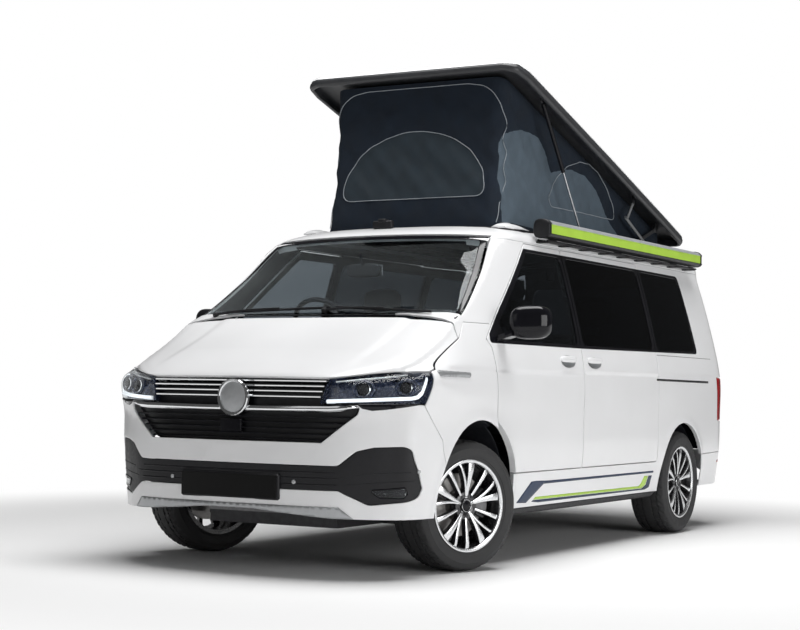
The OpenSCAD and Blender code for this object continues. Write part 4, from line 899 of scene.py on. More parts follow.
# Cowl under the wipers
yy = np.linspace(0, 840, 50)
cowl_a = drop("top", np.stack([np.minimum(rear_x(yy) + 14, 1660), yy], 1))[0]
cowl_b = drop("top", np.stack([rear_x(yy[::-1]) - 46, yy[::-1]], 1))[0]
COWL = np.concatenate([flat("over", cowl_a), flat("over", cowl_b)])
cowl = region("over", [COWL], lambda q: inside(COWL, q), 20)
put(panel("cowl_panel", [cowl], 4, [PLASTIC], lift=-12, roll=0.5, both=True), "body", "black_plastic")


def grid_faces(rows, cols, wrap_cols=False, wrap_rows=False, base=0):
    f = []
    for i in range(rows if wrap_rows else rows - 1):
        for j in range(cols if wrap_cols else cols - 1):
            a, b = i * cols + j, i * cols + (j + 1) % cols
            c, d = ((i + 1) % rows) * cols + (j + 1) % cols, ((i + 1) % rows) * cols + j
            f.append([base + a, base + b, base + c, base + d])
    return f


def loft(rings, closed=True, cap=True):
    """Points and faces of a loft through rings of equal length."""
    rings = [np.asarray(r, float) for r in rings]
    n = len(rings[0])
    faces = grid_faces(len(rings), n, wrap_cols=closed)
    if cap:
        faces.append(list(range(n))[::-1])
        faces.append(list(range((len(rings) - 1) * n, len(rings) * n)))
    return np.concatenate(rings), faces


def tube(points, r, n=10, closed=False):
    """Points and faces of a round bar along a line."""
    p = np.asarray(points, float)
    t = np.gradient(p, axis=0)
    if closed:
        t = np.roll(p, -1, 0) - np.roll(p, 1, 0)
    t /= np.maximum(np.linalg.norm(t, axis=1, keepdims=True), 1e-9)
    ref = np.array([0.0, 0.0, 1.0]) if np.abs(t[:, 2]).mean() < 0.8 else np.array([1.0, 0.0, 0.0])
    u = np.cross(t, ref)
    u /= np.maximum(np.linalg.norm(u, axis=1, keepdims=True), 1e-9)
    v = np.cross(t, u)
    a = np.linspace(0, 2 * math.pi, n, endpoint=False)
    rad = np.broadcast_to(np.asarray(r, float), (len(p),))
    rings = p[:, None] + rad[:, None, None] * (u[:, None] * np.cos(a)[None, :, None] + v[:, None]
                                               * np.sin(a)[None, :, None])
    faces = grid_faces(len(p), n, wrap_cols=True, wrap_rows=closed)
    if not closed:
        faces += [list(range(n))[::-1], list(range((len(p) - 1) * n, len(p) * n))]
    return rings.reshape(-1, 3), faces


def join(parts):
    """Several (points, faces, material index) groups as one."""
    verts, faces, index = [], [], []
    for v, f, m in parts:
        base = len(verts)
        v = np.asarray(v, float)
        if sum(float(v[q[0]] @ np.cross(v[q[i]], v[q[i + 1]])) for q in f
               for i in range(1, len(q) - 1)) < 0:
            f = [q[::-1] for q in f]
        verts += v.tolist()
        faces += [[base + i for i in q] for q in f]
        index += [m] * len(f)
    return verts, faces, index


def piece(name, parts, mats, body, slot, *nodes, sharp=35.0, y_flip=False):
    """A piece of several groups, or its mirror image."""
    v, f, i = join(parts)
    if y_flip:
        v = (np.asarray(v) * [1, -1, 1]).tolist()
        f = [q[::-1] for q in f]
    return put(build(name, v, f, mats, i, sharp=sharp), body, slot, *nodes)


def block(lo, hi, r=4.0, n=3):
    """Box with rounded upright edges and eased top and bottom."""
    lo, hi = np.asarray(lo, float), np.asarray(hi, float)
    r = min(r, 0.45 * (hi - lo).min())
    base = rounded([[lo[0], lo[1]], [hi[0], lo[1]], [hi[0], hi[1]], [lo[0], hi[1]]], r, n)
    small = grow(base, -0.6 * r)
    rings = []
    for q, z in ((small, lo[2]), (base, lo[2] + 0.6 * r), (base, hi[2] - 0.6 * r), (small, hi[2])):
        q = q if len(q) == len(base) else base
        rings.append([[x, y, z] for x, y in q])
    return loft(rings)


# Door mirrors
def mirror_parts():
    rings = []
    for k in np.linspace(0, 1, 22):
        y = 972 + 204 * k
        s = (1 - abs(2 * k - 1) ** 3.2) ** (1 / 2.6)
        s = max(s, 0.12)
        zc = 1312 + 6 * k
        xc = 1248 - 84 * k
        row = []
        for a in np.linspace(0, 2 * math.pi, 44, endpoint=False):
            c, d = math.cos(a), math.sin(a)
            px = 64 * np.sign(c) * abs(c) ** 0.72 * s if c > 0 else 34 * np.sign(c) * abs(c) ** 0.3 * s
            pz = (90 if d > 0 else 92) * np.sign(d) * abs(d) ** 0.66 * s
            row.append([xc + px, y, zc + pz])
        rings.append(row)
    shell = loft(rings)
    glass = []
    for k in (0.0, 1.0):
        o = rounded([[996, 1240], [1150, 1240], [1156, 1388], [1000, 1386]], 26)
        glass.append([[1212 - 3 * k - (y - 972) * 0.412, y, z] for y, z in o])
    foot = loft([[[1262 - 8 * k + dx, 920 + 80 * k, 1226 + 26 * k + dz] for dx, dz in
                  ((-44, -14), (-44, 16), (38, 16), (44, 0), (38, -14))] for k in np.linspace(0, 1, 6)])
    return [(shell[0], shell[1], 0), (loft(glass)[0], loft(glass)[1], 1), (foot[0], foot[1], 0)]


piece("door_mirror_left", mirror_parts(), [GLOSS, CHROME], "front_door_left", "black_plastic")
piece("door_mirror_right", mirror_parts(), [GLOSS, CHROME], "front_door_right", "black_plastic",
      y_flip=True)


# Wheels: local frame with the axle along y, outer side +y, then set at each corner
def revolve(profile, n, closed=True):
    """Ring of a (radius, y) profile about the y axis."""
    a = np.linspace(0, 2 * math.pi, n, endpoint=False)
    pr = np.asarray(profile, float)
    pts = np.stack([np.cos(a)[:, None] * pr[None, :, 0], np.broadcast_to(pr[None, :, 1], (n, len(pr))),
                    np.sin(a)[:, None] * pr[None, :, 0]], -1)
    f = [q[::-1] for q in grid_faces(n, len(pr), wrap_cols=closed, wrap_rows=True)]
    return pts.reshape(-1, 3), f


def tyre_mesh():
    """Tyre with grooves, cross sipes and ribs on the side wall."""
    h = TYRE_R - RIM_R
    bead = TYRE_W / 2 - 19
    half = [(RIM_R + 1, 60), (RIM_R + 1, bead - 6), (RIM_R + 6, bead + 4), (RIM_R + 16, bead + 8),
            (RIM_R + 22, bead + 12),
            (RIM_R + 26, bead + 12.5), (RIM_R + 28, bead + 15), (RIM_R + 0.45 * h, TYRE_W / 2 - 0.6),
            (RIM_R + 0.56 * h, TYRE_W / 2 - 1), (RIM_R + 0.60 * h, TYRE_W / 2 + 0.6),
            (RIM_R + 0.64 * h, TYRE_W / 2 - 2),
            (RIM_R + 0.76 * h, TYRE_W / 2 - 7), (TYRE_R - 17, TYRE_W / 2 - 14),
            (TYRE_R - 10, TYRE_W / 2 - 22),
            (TYRE_R - 6, TYRE_W / 2 - 32), (TYRE_R - 4, TYRE_W / 2 - 42)]
    for y in (72, 34):
        half += [(TYRE_R - 2, y + 5), (TYRE_R - 9, y + 4), (TYRE_R - 9, y - 4),
                 (TYRE_R - 2 + (y < 40), y - 5)]
    half.append((TYRE_R - 0.4, 12))
    prof = half + [(r, -y) for r, y in half[::-1]]
    n = 216
    pts, faces = revolve(prof, n)
    p = pts.reshape(n, len(prof), 3)
    ang = np.arange(n)
    for j, (r, y) in enumerate(prof):
        if r > TYRE_R - 11 and abs(y) > 14:
            cut = ((ang + int(abs(y) / 9)) % 4 == 0) & (abs(y) > 40) | ((ang + int(y / 6)) % 6 == 0)
            p[cut, j, 0] *= (r - 6) / r
            p[cut, j, 2] *= (r - 6) / r
    return p.reshape(-1, 3), faces


def spoke(angle, w_hub, w_rim, r0, r1, lean):
    """One spoke: machined face, dark flanks; lean turns its outer end sideways in degrees."""
    rows, face_rows = [], []
    for k in np.linspace(0, 1, 9):
        r = r0 + (r1 - r0) * k
        a = math.radians(angle + lean * (k - 0.0))
        y = 92 + 17 * (1 - (1 - k) ** 2) - 5 * max(0.0, k - 0.85) / 0.15
        w = w_hub + (w_rim - w_hub) * k ** 1.6
        c, s = np.array([math.cos(a), 0, math.sin(a)]), np.array([-math.sin(a), 0, math.cos(a)])
        mid = c * r
        up = np.array([0, 1.0, 0])
        face_rows.append([mid - s * w + up * y, mid - s * w * 0.5 + up * (y + 1.2),
                          mid + s * w * 0.5 + up * (y + 1.2),
                          mid + s * w + up * y])
        rows.append([mid - s * w + up * y, mid + s * w + up * y, mid + s * (w + 3.5) + up * (y - 12),
                     mid + s * (w + 2) + up * (y - 30), mid - s * (w + 2) + up * (y - 30),
                     mid - s * (w + 3.5) + up * (y - 12)])
    v1, f1 = loft(rows)
    v2 = np.concatenate(face_rows) + np.array([0, 0.5, 0])
    f2 = grid_faces(len(face_rows), 4)
    return [(v1, f1, 1), (v2, f2, 0)]


def rim_parts():
    bw = TYRE_W / 2 - 19
    barrel = revolve([(RIM_R + 12, bw + 9), (RIM_R + 13, bw + 5), (RIM_R + 2, bw), (RIM_R - 1, bw - 20),
                      (RIM_R - 6, -bw),
                      (RIM_R + 12, -bw - 9), (RIM_R - 11, -bw - 8), (RIM_R - 20, -40),
                      (RIM_R - 16, bw - 30),
                      (RIM_R - 9, bw - 8), (RIM_R - 2, bw + 6)], 120)
    lip = revolve([(RIM_R + 11, bw + 9.6), (RIM_R + 7, bw + 10.6), (RIM_R - 3, bw + 8), (RIM_R - 7, bw + 2),
                   (RIM_R - 5, bw + 1), (RIM_R + 5, bw + 6)], 120)
    parts = [(barrel[0], barrel[1], 1), (lip[0], lip[1], 0)]
    for i in range(5):
        base = 90 + 72 * i
        parts += spoke(base + 2, 8.0, 21.0, 40, RIM_R - 3, 5.0)
        parts += spoke(base - 2, 6.0, 8.0, 40, RIM_R - 3, -12.5)
        parts += spoke(base + 36, 6.0, 12.5, 52, RIM_R - 3, 0.0)
    hub = revolve([(28, 60), (74, 60), (78, 76), (72, 92), (60, 96), (46, 95), (38, 90), (28, 89)], 80)
    parts.append((hub[0], hub[1], 1))
    cap = revolve([(0.5, 78), (30, 78), (33, 88), (32, 97), (29, 99.5), (26, 99), (24, 97.5), (0.5, 98.6)],
                  60, closed=False)
    parts.append((cap[0], cap[1], 2))
    ringed = revolve([(28.6, 98.5), (31, 99.8), (32.6, 98.4), (31, 97)], 60)
    parts.append((ringed[0], ringed[1], 0))
    for i in range(5):
        a = math.radians(54 + 72 * i)
        bolt = revolve([(0.5, 80), (8.5, 80), (8.5, 96), (7, 99), (0.5, 99)], 6, closed=False)
        parts.append((bolt[0] + np.array([56 * math.cos(a), 0, 56 * math.sin(a)]), bolt[1], 3))
    disc = revolve([(60, 8), (163, 8), (165, 10), (165, 17), (150, 18), (150, 22), (165, 23), (165, 30),
                    (163, 32), (90, 32),
                    (84, 50), (60, 52)], 90)
    parts.append((disc[0], disc[1], 4))
    return parts


def caliper_parts():
    rows = []
    for a in np.linspace(math.radians(150), math.radians(205), 12):
        ends = 1 - 0.35 * (abs(a - math.radians(177.5)) / math.radians(27.5)) ** 4
        row = []
        for r, y in ((100, -20), (100, 6), (174, 6), (174, 34), (100, 34), (104, 58), (178, 58), (192, 46),
                     (194, -8), (180, -20)):
            rr = 140 + (r - 140) * ends
            row.append([rr * math.cos(a), y, rr * math.sin(a)])
        rows.append(row)
    v, f = loft(rows)
    return [(v, [q[::-1] for q in f], 0)]


STEER = math.radians(-20)


def at_corner(v, axle, side):
    """Set local wheel points at a corner of the vehicle."""
    v = np.asarray(v, float)
    if axle == "rear":
        return (v + [0, WHEEL_Y, 0]) * [1, side, 1] + [RA, 0, AXLE_Z]
    w = (v + [0, 64, 0]) * [1, side, 1]
    c, s = math.cos(STEER), math.sin(STEER)
    return np.stack([c * w[:, 0] - s * w[:, 1] + FA, s * w[:, 0] + c * w[:, 1] + side * 750,
                     w[:, 2] + AXLE_Z], 1)


WHEELS = [("front", 1, "front_left"), ("front", -1, "front_right"), ("rear", 1, "rear_left"),
          ("rear", -1, "rear_right")]
tyre_v, tyre_f = tyre_mesh()
rim_v, rim_f, rim_i = join(rim_parts())
cal_v, cal_f = join(caliper_parts())[:2]
for axle, side, name in WHEELS:
    turn = (lambda f: f) if side > 0 else (lambda f: [q[::-1] for q in f])
    put(build("tyre_skin_" + name, at_corner(tyre_v, axle, side), turn(tyre_f), [RUBBER], sharp=28),
        "wheel_" + name,
        "tyre_rubber", "tyre_" + name)
    put(build("rim_skin_" + name, at_corner(rim_v, axle, side), turn(rim_f),
              [ALLOY, ALLOY_BLACK, GLOSS, STEEL, DISC], rim_i),
        "wheel_" + name, "alloy", "rim_" + name)
    hold = "knuckle_left" if name == "front_left" else "knuckle_right" if name == "front_right" else "body"
    put(build("caliper_" + name, at_corner(cal_v, axle, side), turn(cal_f), [CAST]), hold, "cast_metal")


# Front end: bars, lamps, plate and lower lip
def bar(view, points, prof, step=16.0, taper=None):
    """Bar of an (out, up) profile swept along a line of a view laid on the skin."""
    p, n = drop(view, path(points, step))
    out = n * [1, 1, 0]
    out /= np.maximum(np.linalg.norm(out, axis=1, keepdims=True), 1e-9)
    size = np.ones(len(p)) if taper is None else taper(flat(view, p))
    return loft([[q + o * a + [0, 0, b * k] for a, b in prof] for q, o, k in zip(p, out, size)])


def turned(profile, centre, axis, n=40, wide=1.0):
    """Turned form with its (radius, along) profile about an axis at a place."""
    ax = np.asarray(axis, float) / np.linalg.norm(axis)
    e1 = np.cross([0, 0, 1.0], ax)
    e1 /= np.linalg.norm(e1)
    e3 = np.cross(ax, e1)
    v, f = revolve(profile, n, closed=False)
    return np.asarray(centre, float) + v[:, :1] * e1 * wide + v[:, 1:2] * ax + v[:, 2:] * e3, f


def skirt(view, outline, lift0, lift1):
    """Wall along an outline, from one depth under the skin to another."""
    p, n = drop(view, resample(outline, 12.0))
    rows = [p + n * lift0, p + n * lift1]
    return np.concatenate(rows), grid_faces(2, len(p), wrap_cols=True)


def both_sides(parts):
    out = list(parts)
    for v, f, m in parts:
        out.append((np.asarray(v, float) * [1, -1, 1], [q[::-1] for q in f], m))
    return out


def patch(view, outline, step=16.0):
    """Laid patch as a panel part."""
    o = np.asarray(outline, float)
    return region(view, [o], lambda q: inside(o, q), step, edge=8.0, ring_in=0)


BAR = [(-26, -3), (-8, -6), (-3, -3), (-2, 2), (-5, 6), (-26, 4)]
parts = []
for z in (978, 953, 927, 900):
    w = np.interp(z, [866, 990], [504, 538]) - 5
    parts.append(bar("front", [[-w, z], [w, z]], BAR) + (0,))
STRIP = [(-30, -16), (-4, -15), (3, -8), (5, 4), (2, 13), (-4, 16), (-30, 16)]
strip_line = [[-704, 852], [-560, 842], [-200, 838], [200, 838], [560, 842], [704, 852]]
parts.append(bar("front", strip_line, STRIP, taper=lambda q: np.clip((712 - np.abs(q[:, 0])) / 90, 0.2, 1))
             + (0,))
LOW_BAR = [(-44, -3), (-16, -4), (-12, 0), (-16, 4), (-44, 3)]
for z in (798, 770, 742, 714, 688):
    w = np.interp(z, [677, 815], [521, 690]) - 5
    parts.append(bar("front", [[-w, z], [w, z]], LOW_BAR) + (1,))
for y in np.arange(-480, 481, 120):
    low, high = drop("front", np.array([[y, 808.0], [y, 984.0]]))[0]
    parts.append(block([low[0] - 70, y - 3, 684], [low[0] - 46, y + 3, 806], 1.5) + (1,))
    parts.append(block([high[0] - 60, y - 3, 872], [high[0] - 34, y + 3, 984], 1.5) + (1,))
sensor = drop("front", np.array([[-18.0, 750.0]]))[0][0]
parts.append(block([sensor[0] - 40, -84, 714], [sensor[0] - 8, 48, 786], 8) + (2,))
piece("grille_bars", parts, [CHROME, GRILLE, GLOSS], "body", "grille_black")
mark = drop("front", np.array([[4.0, 892.0]]))[0][0] + [16, 0, 0]
DISC_FACE = [(0.5, -24), (84, -24), (92, -6), (93, 2), (88, 6), (82, 5), (80, 1), (60, 3), (30, 5),
             (0.5, 5.6)]
RING_FACE = [(78, 0), (93.5, 0), (94.5, 5), (90, 10), (82, 9.5), (77, 5)]
ring_v, ring_f = turned(RING_FACE + RING_FACE[:1], mark, [1, 0, 0.02], 72)
piece("plain_disc", [turned(DISC_FACE, mark, [1, 0, 0.02], 72) + (1,), (ring_v, ring_f, 0)],
      [CHROME, SILVER], "body",
      "alloy")

# Headlamps: bowl wall, two projectors with oval bezels, the light bar
parts = [skirt("nose", LAMP, -3, -48) + (0,)]
for s, z, r in ((666, 950, 30), (846, 958, 27)):
    at, n = drop("nose", np.array([[s, z]], float))
    ax = n[0] * 0.5 + np.array([0.8, 0.15, 0.0])
    c = at[0] - n[0] * 40
    bezel = [(r + 3, -8), (r + 20, -8), (r + 17, 9), (r + 10, 14), (r + 5, 8), (r + 3, -8)]
    parts.append(turned(bezel, c, ax, 40, 1.25) + (0,))
    parts.append(turned([(r, -6), (r + 5, -4), (r + 5.5, 8), (r + 2, 11), (r, 6), (r, -6)], c, ax) + (1,))
    dome = [(0.5, -6), (r, -6)] + [(r * math.cos(a), r * 0.62 * math.sin(a))
                                   for a in np.linspace(0.1, 1.5, 9)]
    parts.append(turned(dome + [(0.5, r * 0.62)], c, ax) + (3,))
parts.append(bar("nose", [[508, 879], [700, 889], [868, 899], [898, 907], [918, 926], [944, 996]],
                 [(-22, -9), (-8, -9), (-5, -4), (-5, 5), (-8, 9), (-22, 9)], 10) + (2,))
parts.append(bar("nose", [[548, 975], [700, 992], [860, 1012]],
                 [(-40, -4), (-14, -4), (-11, 0), (-14, 4), (-40, 4)], 10) + (4,))
piece("headlamp_insides", both_sides(parts), [LAMP_IN, CHROME, DRL, GLOSS, SILVER], "body", "interior_dark",
      sharp=40)
UNDER = [[636, 869], [660, 846], [702, 836], [760, 842], [840, 855], [900, 867], [926, 873], [900, 872]]
put(panel("lamp_under_band", [patch("nose", UNDER)], 2, [GLOSS], lift=1.2, roll=0.6, both=True), "body",
    "black_plastic")

# Number plate place, blank, on its holder
parts = [block([2424, -306, 384], [2458, 298, 516], 14) + (0,),
         block([2458, -296, 392], [2464, 288, 508], 3) + (1,)]
piece("plate_blank", parts, [PLASTIC, PLATE], "body", "black_plastic")

# Lower lip, vanes of the black band, fog lamps and sensors
foot = MP[(MX > 2344) & (np.abs(MP[:, 0, 1]) < 672), 0][:, [1, 2]] + [0, 4]
foot = np.concatenate([foot[np.argsort(-foot[:, 0])], [[60, 340], [-60, 340]],
                       foot[np.argsort(foot[:, 0])] * [-1, 1]])
LIP = np.concatenate([[[-606, 362], [606, 362]], foot])
put(panel("lower_lip", [patch("front", LIP, 10)], 6, [SILVER], lift=4.5, roll=1.2), "body", "alloy")
parts = []
for z, w in ((528, 590), (500, 640), (468, 600)):
    parts.append(bar("front", [[-w, z], [w, z]], [(-14, -4), (-4, -4), (-1, 0), (-4, 4), (-14, 4)]) + (0,))
for line in ([[640, 520], [800, 532], [880, 536]], [[600, 470], [760, 486], [900, 492]]):
    v, f = bar("nose", line, [(-14, -3), (-5, -3), (-3, 0), (-5, 3), (-14, 3)])
    parts += both_sides([(v, f, 0)])
piece("bumper_vanes", parts, [PLASTIC], "body", "black_plastic")
FOG = rounded([[694, 446], [742, 408], [846, 404], [868, 428], [852, 460], [780, 452]], 9)
fog_p, fog_n, fog_t = region("nose", [FOG], lambda q: inside(FOG, q), 11, ring_in=0)
fog_bowl = fog_p - fog_n * RNG.uniform(4, 16, (len(fog_p), 1))
parts = [(fog_bowl, fog_t.tolist(), 0)]
rim_line = np.concatenate([FOG, FOG[:1]])
parts.append(bar("nose", rim_line, [(-12, -4), (-3, -4), (-1, 0), (-3, 4), (-12, 4)], 8) + (1,))
v, f, i = join(parts)
v = np.asarray(v)
parts = []
for sgn in (1, -1):
    for k in (0, 1):
        keep = [q for q, m in zip(f, i) if m == k]
        parts.append((v * [1, sgn, 1], keep if sgn > 0 else [q[::-1] for q in keep], k))
for s, z in ((918, 538), (-918, 538), (360, 478), (-360, 478)):
    at, n = drop("nose", np.array([[s, z]], float))
    parts.append(turned([(0.5, -8), (11, -8), (11, -2), (9, 0), (0.5, 0.6)], at[0], n[0], 24) + (2,))
piece("fog_lamps", parts, [CHROME, GLOSS, SILVER], "body", "lamp_clear", sharp=12)
put(panel("fog_lenses", [(fog_p, fog_n, fog_t)], 2, [LENS], lift=-2, roll=0.5, both=True), "body",
    "lamp_clear")

# Blank bright strip at the end of each headlamp
SIDE_STRIP = rounded([[2040, 1041], [2036, 1012], [1694, 1008], [1676, 1022], [1684, 1035]], 6)
put(panel("fender_strips", [patch("side", SIDE_STRIP)], 5, [SILVER], lift=5.0, roll=1.6, both=True), "body",
    "alloy")


# Sides: handles, slide rail, stripes, sill strip, wipers
def handle_parts(cx, cz):
    """Oval dish in the skin with a white grip across its upper half; the dish is grey silver, painted shade
    of the recess on top of its real depth.
    """
    rows = []
    for k in np.linspace(0, 1, 7):
        q = ring(0, 0, 1, 48) * [98 * (1 - 0.8 * k), 35 * (1 - 0.8 * k)] + [cx, cz]
        p, n = drop("side", q)
        rows.append(p - n * (1 + 24 * math.sin(k * math.pi / 2)))
    dish = np.concatenate(rows)
    faces = grid_faces(len(rows), 48, wrap_cols=True) + [list(range(6 * 48, 7 * 48))]
    y0 = drop("side", np.array([[cx, cz + 14]], float))[0][0, 1]
    grip = []
    for k in np.linspace(-1, 1, 17):
        e = max(1 - abs(k) ** 4, 0.0) ** 0.5
        row = []
        for a in np.linspace(0, 2 * math.pi, 16, endpoint=False):
            row.append([cx + 104 * k, y0 - 4 + 10 * e + (9 + 2 * e) * math.cos(a),
                        cz + 14 + (9 + 10 * e) * math.sin(a)])
        grip.append(row)
    # The dish takes material 1, the grey silver finish, as painted shade in the white recess; the grip
    # keeps the white paint.
    return [(dish, faces, 1)] + [loft(grip) + (0,)]


piece("door_handle_left", handle_parts(424, 1117), [PAINT, SILVER], "front_door_left", "white_paint")
piece("door_handle_right", handle_parts(424, 1117), [PAINT, SILVER], "front_door_right", "white_paint",
      y_flip=True)
piece("slide_handle", handle_parts(42, 1117), [PAINT, SILVER], "body", "white_paint")
RAIL_LINE = [[-946, 1034], [-946, 1020], [-1934, 1012], [-1934, 1027]]
put(panel("slide_rail", [patch("side", RAIL_LINE)], 3, [PLASTIC], lift=1.2, roll=0.6), "body",
    "black_plastic")
QUARTER_SEAM = [[-997, 1190], [-997, 1187], [-2040, 1182], [-2040, 1185]]
put(panel("quarter_seam", [patch("side", QUARTER_SEAM)], 1.5, [PLASTIC], lift=0.3, roll=0.0, both=True),
    "body",
    "black_plastic")
NAVY_BAND = [[1034, 327], [908, 322], [716, 421], [-960, 423], [-956, 436], [640, 437], [820, 442],
             [884, 440]]
LIME_BAND = [[818, 335], [800, 350], [-745, 344], [-776, 360], [-814, 407], [-878, 405], [-856, 350],
             [-800, 328]]
NAVY_LINE = [[842, 325], [822, 333], [-802, 326], [-862, 348], [-885, 406], [-943, 406], [-926, 330],
             [-860, 317],
             [752, 317]]
put(panel("stripe_navy", [patch("side", NAVY_BAND, 12), patch("side", NAVY_LINE, 12)], 1.2, [NAVY],
          lift=0.7,
          roll=0.2, both=True), "body", "white_paint")
put(panel("stripe_lime", [patch("side", LIME_BAND, 12)], 1.2, [LIME], lift=0.8, roll=0.2, both=True),
    "body",
    "lime_case")
rows = []
for x in np.linspace(1104, -1046, 44):
    e = min(1.0, (1104 - x) / 60 + 0.3, (x + 1046) / 60 + 0.3)
    rows.append([[x, y, 300 - (300 - z) * e] for y,
                 z in ((862, 301), (905, 301), (908, 294), (902, 272), (888, 262), (862, 264))])
piece("sill_strips", both_sides([loft(rows) + (0,)]), [PLASTIC], "body", "black_plastic")
REFLECTOR = rounded([[-2188, 452], [-2292, 452], [-2292, 470], [-2188, 470]], 6)
put(panel("rear_reflectors", [patch("side", REFLECTOR)], 3, [RED], lift=1.5, roll=1, both=True), "body",
    "lamp_red")


def wiper(pivot, tip, heel, view="front"):
    """Arm from its pivot to the middle of a blade lying low on the glass."""
    blade, bn = drop(view, np.linspace(heel, tip, 26))
    blade = blade + bn * 13
    mid = blade[len(blade) // 2] + bn[0] * 8
    start, sn = drop(view, np.array([pivot], float))
    start = start[0] + sn[0] * 10
    k = np.linspace(0, 1, 14)[:, None]
    arm = start + k * (mid - start) + np.sin(math.pi * k) * bn[0] * 7
    boss = turned([(0.5, -12), (17, -12), (17, 4), (12, 10), (0.5, 12)], start, sn[0], 20)
    return [tube(blade, 5.5, 8) + (0,), tube(blade - bn * 7, 2.5, 6) + (0,),
            tube(arm, np.linspace(8, 4.5, 14), 8) + (0,),
            boss + (0,)]


parts = wiper([-690, 1340], [60, 1374], [-610, 1352]) + wiper([30, 1362], [700, 1346], [96, 1376])
piece("wipers", parts, [PLASTIC], "body", "black_plastic")

# Tailgate: grip, brake lamp bar and wiper
for name, outline, thick, m, lift in (
        ("tailgate_grip", [[-330, 912], [330, 912], [318, 956], [-318, 956]], 9, PLASTIC, 9.0),
        ("brake_lamp_bar", [[-170, 1736], [170, 1736], [166, 1756], [-166, 1756]], 6, RED, 6.0)):
    put(panel(name, [patch("rear", rounded(outline, 8, 4))], thick, [m], lift=lift, roll=2), "tailgate",
        "black_plastic")
parts = wiper([20, 1196], [-520, 1262], [-40, 1244], "rear")
piece("rear_wiper", parts, [PLASTIC], "tailgate", "black_plastic")

# Trough under the bonnet's rear edge, inside the arc that the edge sweeps
parts = [block([1670, -668, 1279], [1703, 668, 1292], 5) + (0,)]
for k in range(34):
    parts.append(block([1674, -655 + 39 * k, 1290], [1699, -632 + 39 * k, 1297], 2) + (0,))
piece("cowl_trough", parts, [PLASTIC], "body", "black_plastic")


# Pop-top: lid, fabric walls and awning. Closed places are turned to the open ones.
LID_TURN = math.radians(16.3)


def to_open(p):
    """Points of the closed lid at the lid's place in the photo."""
    p = np.asarray(p, float)
    dx = p[..., 0] + 1776
    dz = p[..., 2] - 1905
    c, s = math.cos(LID_TURN), math.sin(LID_TURN)
    return np.stack([-1746.75 + dx * c - dz * s, p[..., 1], 2084.6 + dx * s + dz * c], -1)


def lid_top(x):
    """Height of the closed lid's top along x."""
    return np.interp(x, [-2090, -2030, -1700, -645, 300, 620, 760, 806],
                     [1966, 1984, 1988, 1990, 1990, 1989, 1984, 1976])


LID_OUT = rounded([[-2090, -695], [-2030, -729], [-645, -737], [640, -737], [770, -716], [806, -640],
                   [806, 640], [770, 716],
                   [640, 737], [-645, 737], [-2030, 729], [-2090, 695]], 60, 6)
LID_OUT = resample(LID_OUT, 60)
LID_ROWS = [(420, 0, 5), (220, 0, 4), (110, 0, 1), (44, 0, -6), (18, 0, -17), (5, 0, -36), (0, 0, -58),
            (-2, 1926, 0),
            (-2, 1910, 0), (4, 1898, 0), (16, 1893, 0), (28, 1898, 0), (32, 1922, 0), (36, 1936, 0),
            (52, 0, -44),
            (130, 0, -34), (420, 0, -30)]
LID_MID = np.array([-642.0, 0.0])
rows = []
for d, z_fixed, dz in LID_ROWS:
    q = grow(LID_OUT, -d) if d < 56 else LID_MID + (LID_OUT - LID_MID) * (1 - d / np.array([1448.0, 737.0]))
    z = np.full(len(q), float(z_fixed)) if z_fixed else lid_top(q[:, 0]) + dz
    rows.append(np.column_stack([q, z]))
lid_n = len(LID_OUT)
lid_faces = grid_faces(len(rows), lid_n, wrap_cols=True)
lid_index = [0 if k < 5 else 1 for k in range(len(rows) - 1) for _ in range(lid_n)]
lid_faces += [list(range(lid_n))[::-1], list(range((len(rows) - 1) * lid_n, len(rows) * lid_n))]
lid_index += [0, 1]
lid_v = to_open(np.concatenate(rows))
verts, faces, index = lid_v.tolist(), list(lid_faces), list(lid_index)
for x, y, z in ((-1776, 612, 1905), (-1280, 642, 1914), (300, 665, 1928)):
    for sgn in (1, -1):
        bv, bf = block([x - 18, sgn * y - 8, z - 14], [x + 18, sgn * y + 8, 1966], 5)
        base = len(verts)
        verts += to_open(bv).tolist()
        faces += [[base + i for i in f] for f in bf]
        index += [1] * len(bf)
put(build("lid_shell", verts, faces, [PAINT, LID], index, sharp=50), "poptop_lid", "lid_dark", "poptop_lid")

# Fabric walls: one sheet round the opening, its seams and windows set out in (along, up)
WALL_LOOP = rounded([[-1966, -582], [668, -582], [668, 582], [-1966, 582]], 70, 8)
WALL_LOOP = resample(WALL_LOOP, 16)
wall_step = np.linalg.norm(np.roll(WALL_LOOP, -1, 0) - WALL_LOOP, axis=1)
WALL_U = np.concatenate([[0], np.cumsum(wall_step)])
WALL_L = WALL_U[-1]
WALL_UP = 900.0
WALL_ROUND = np.concatenate([WALL_LOOP, WALL_LOOP[:1]])


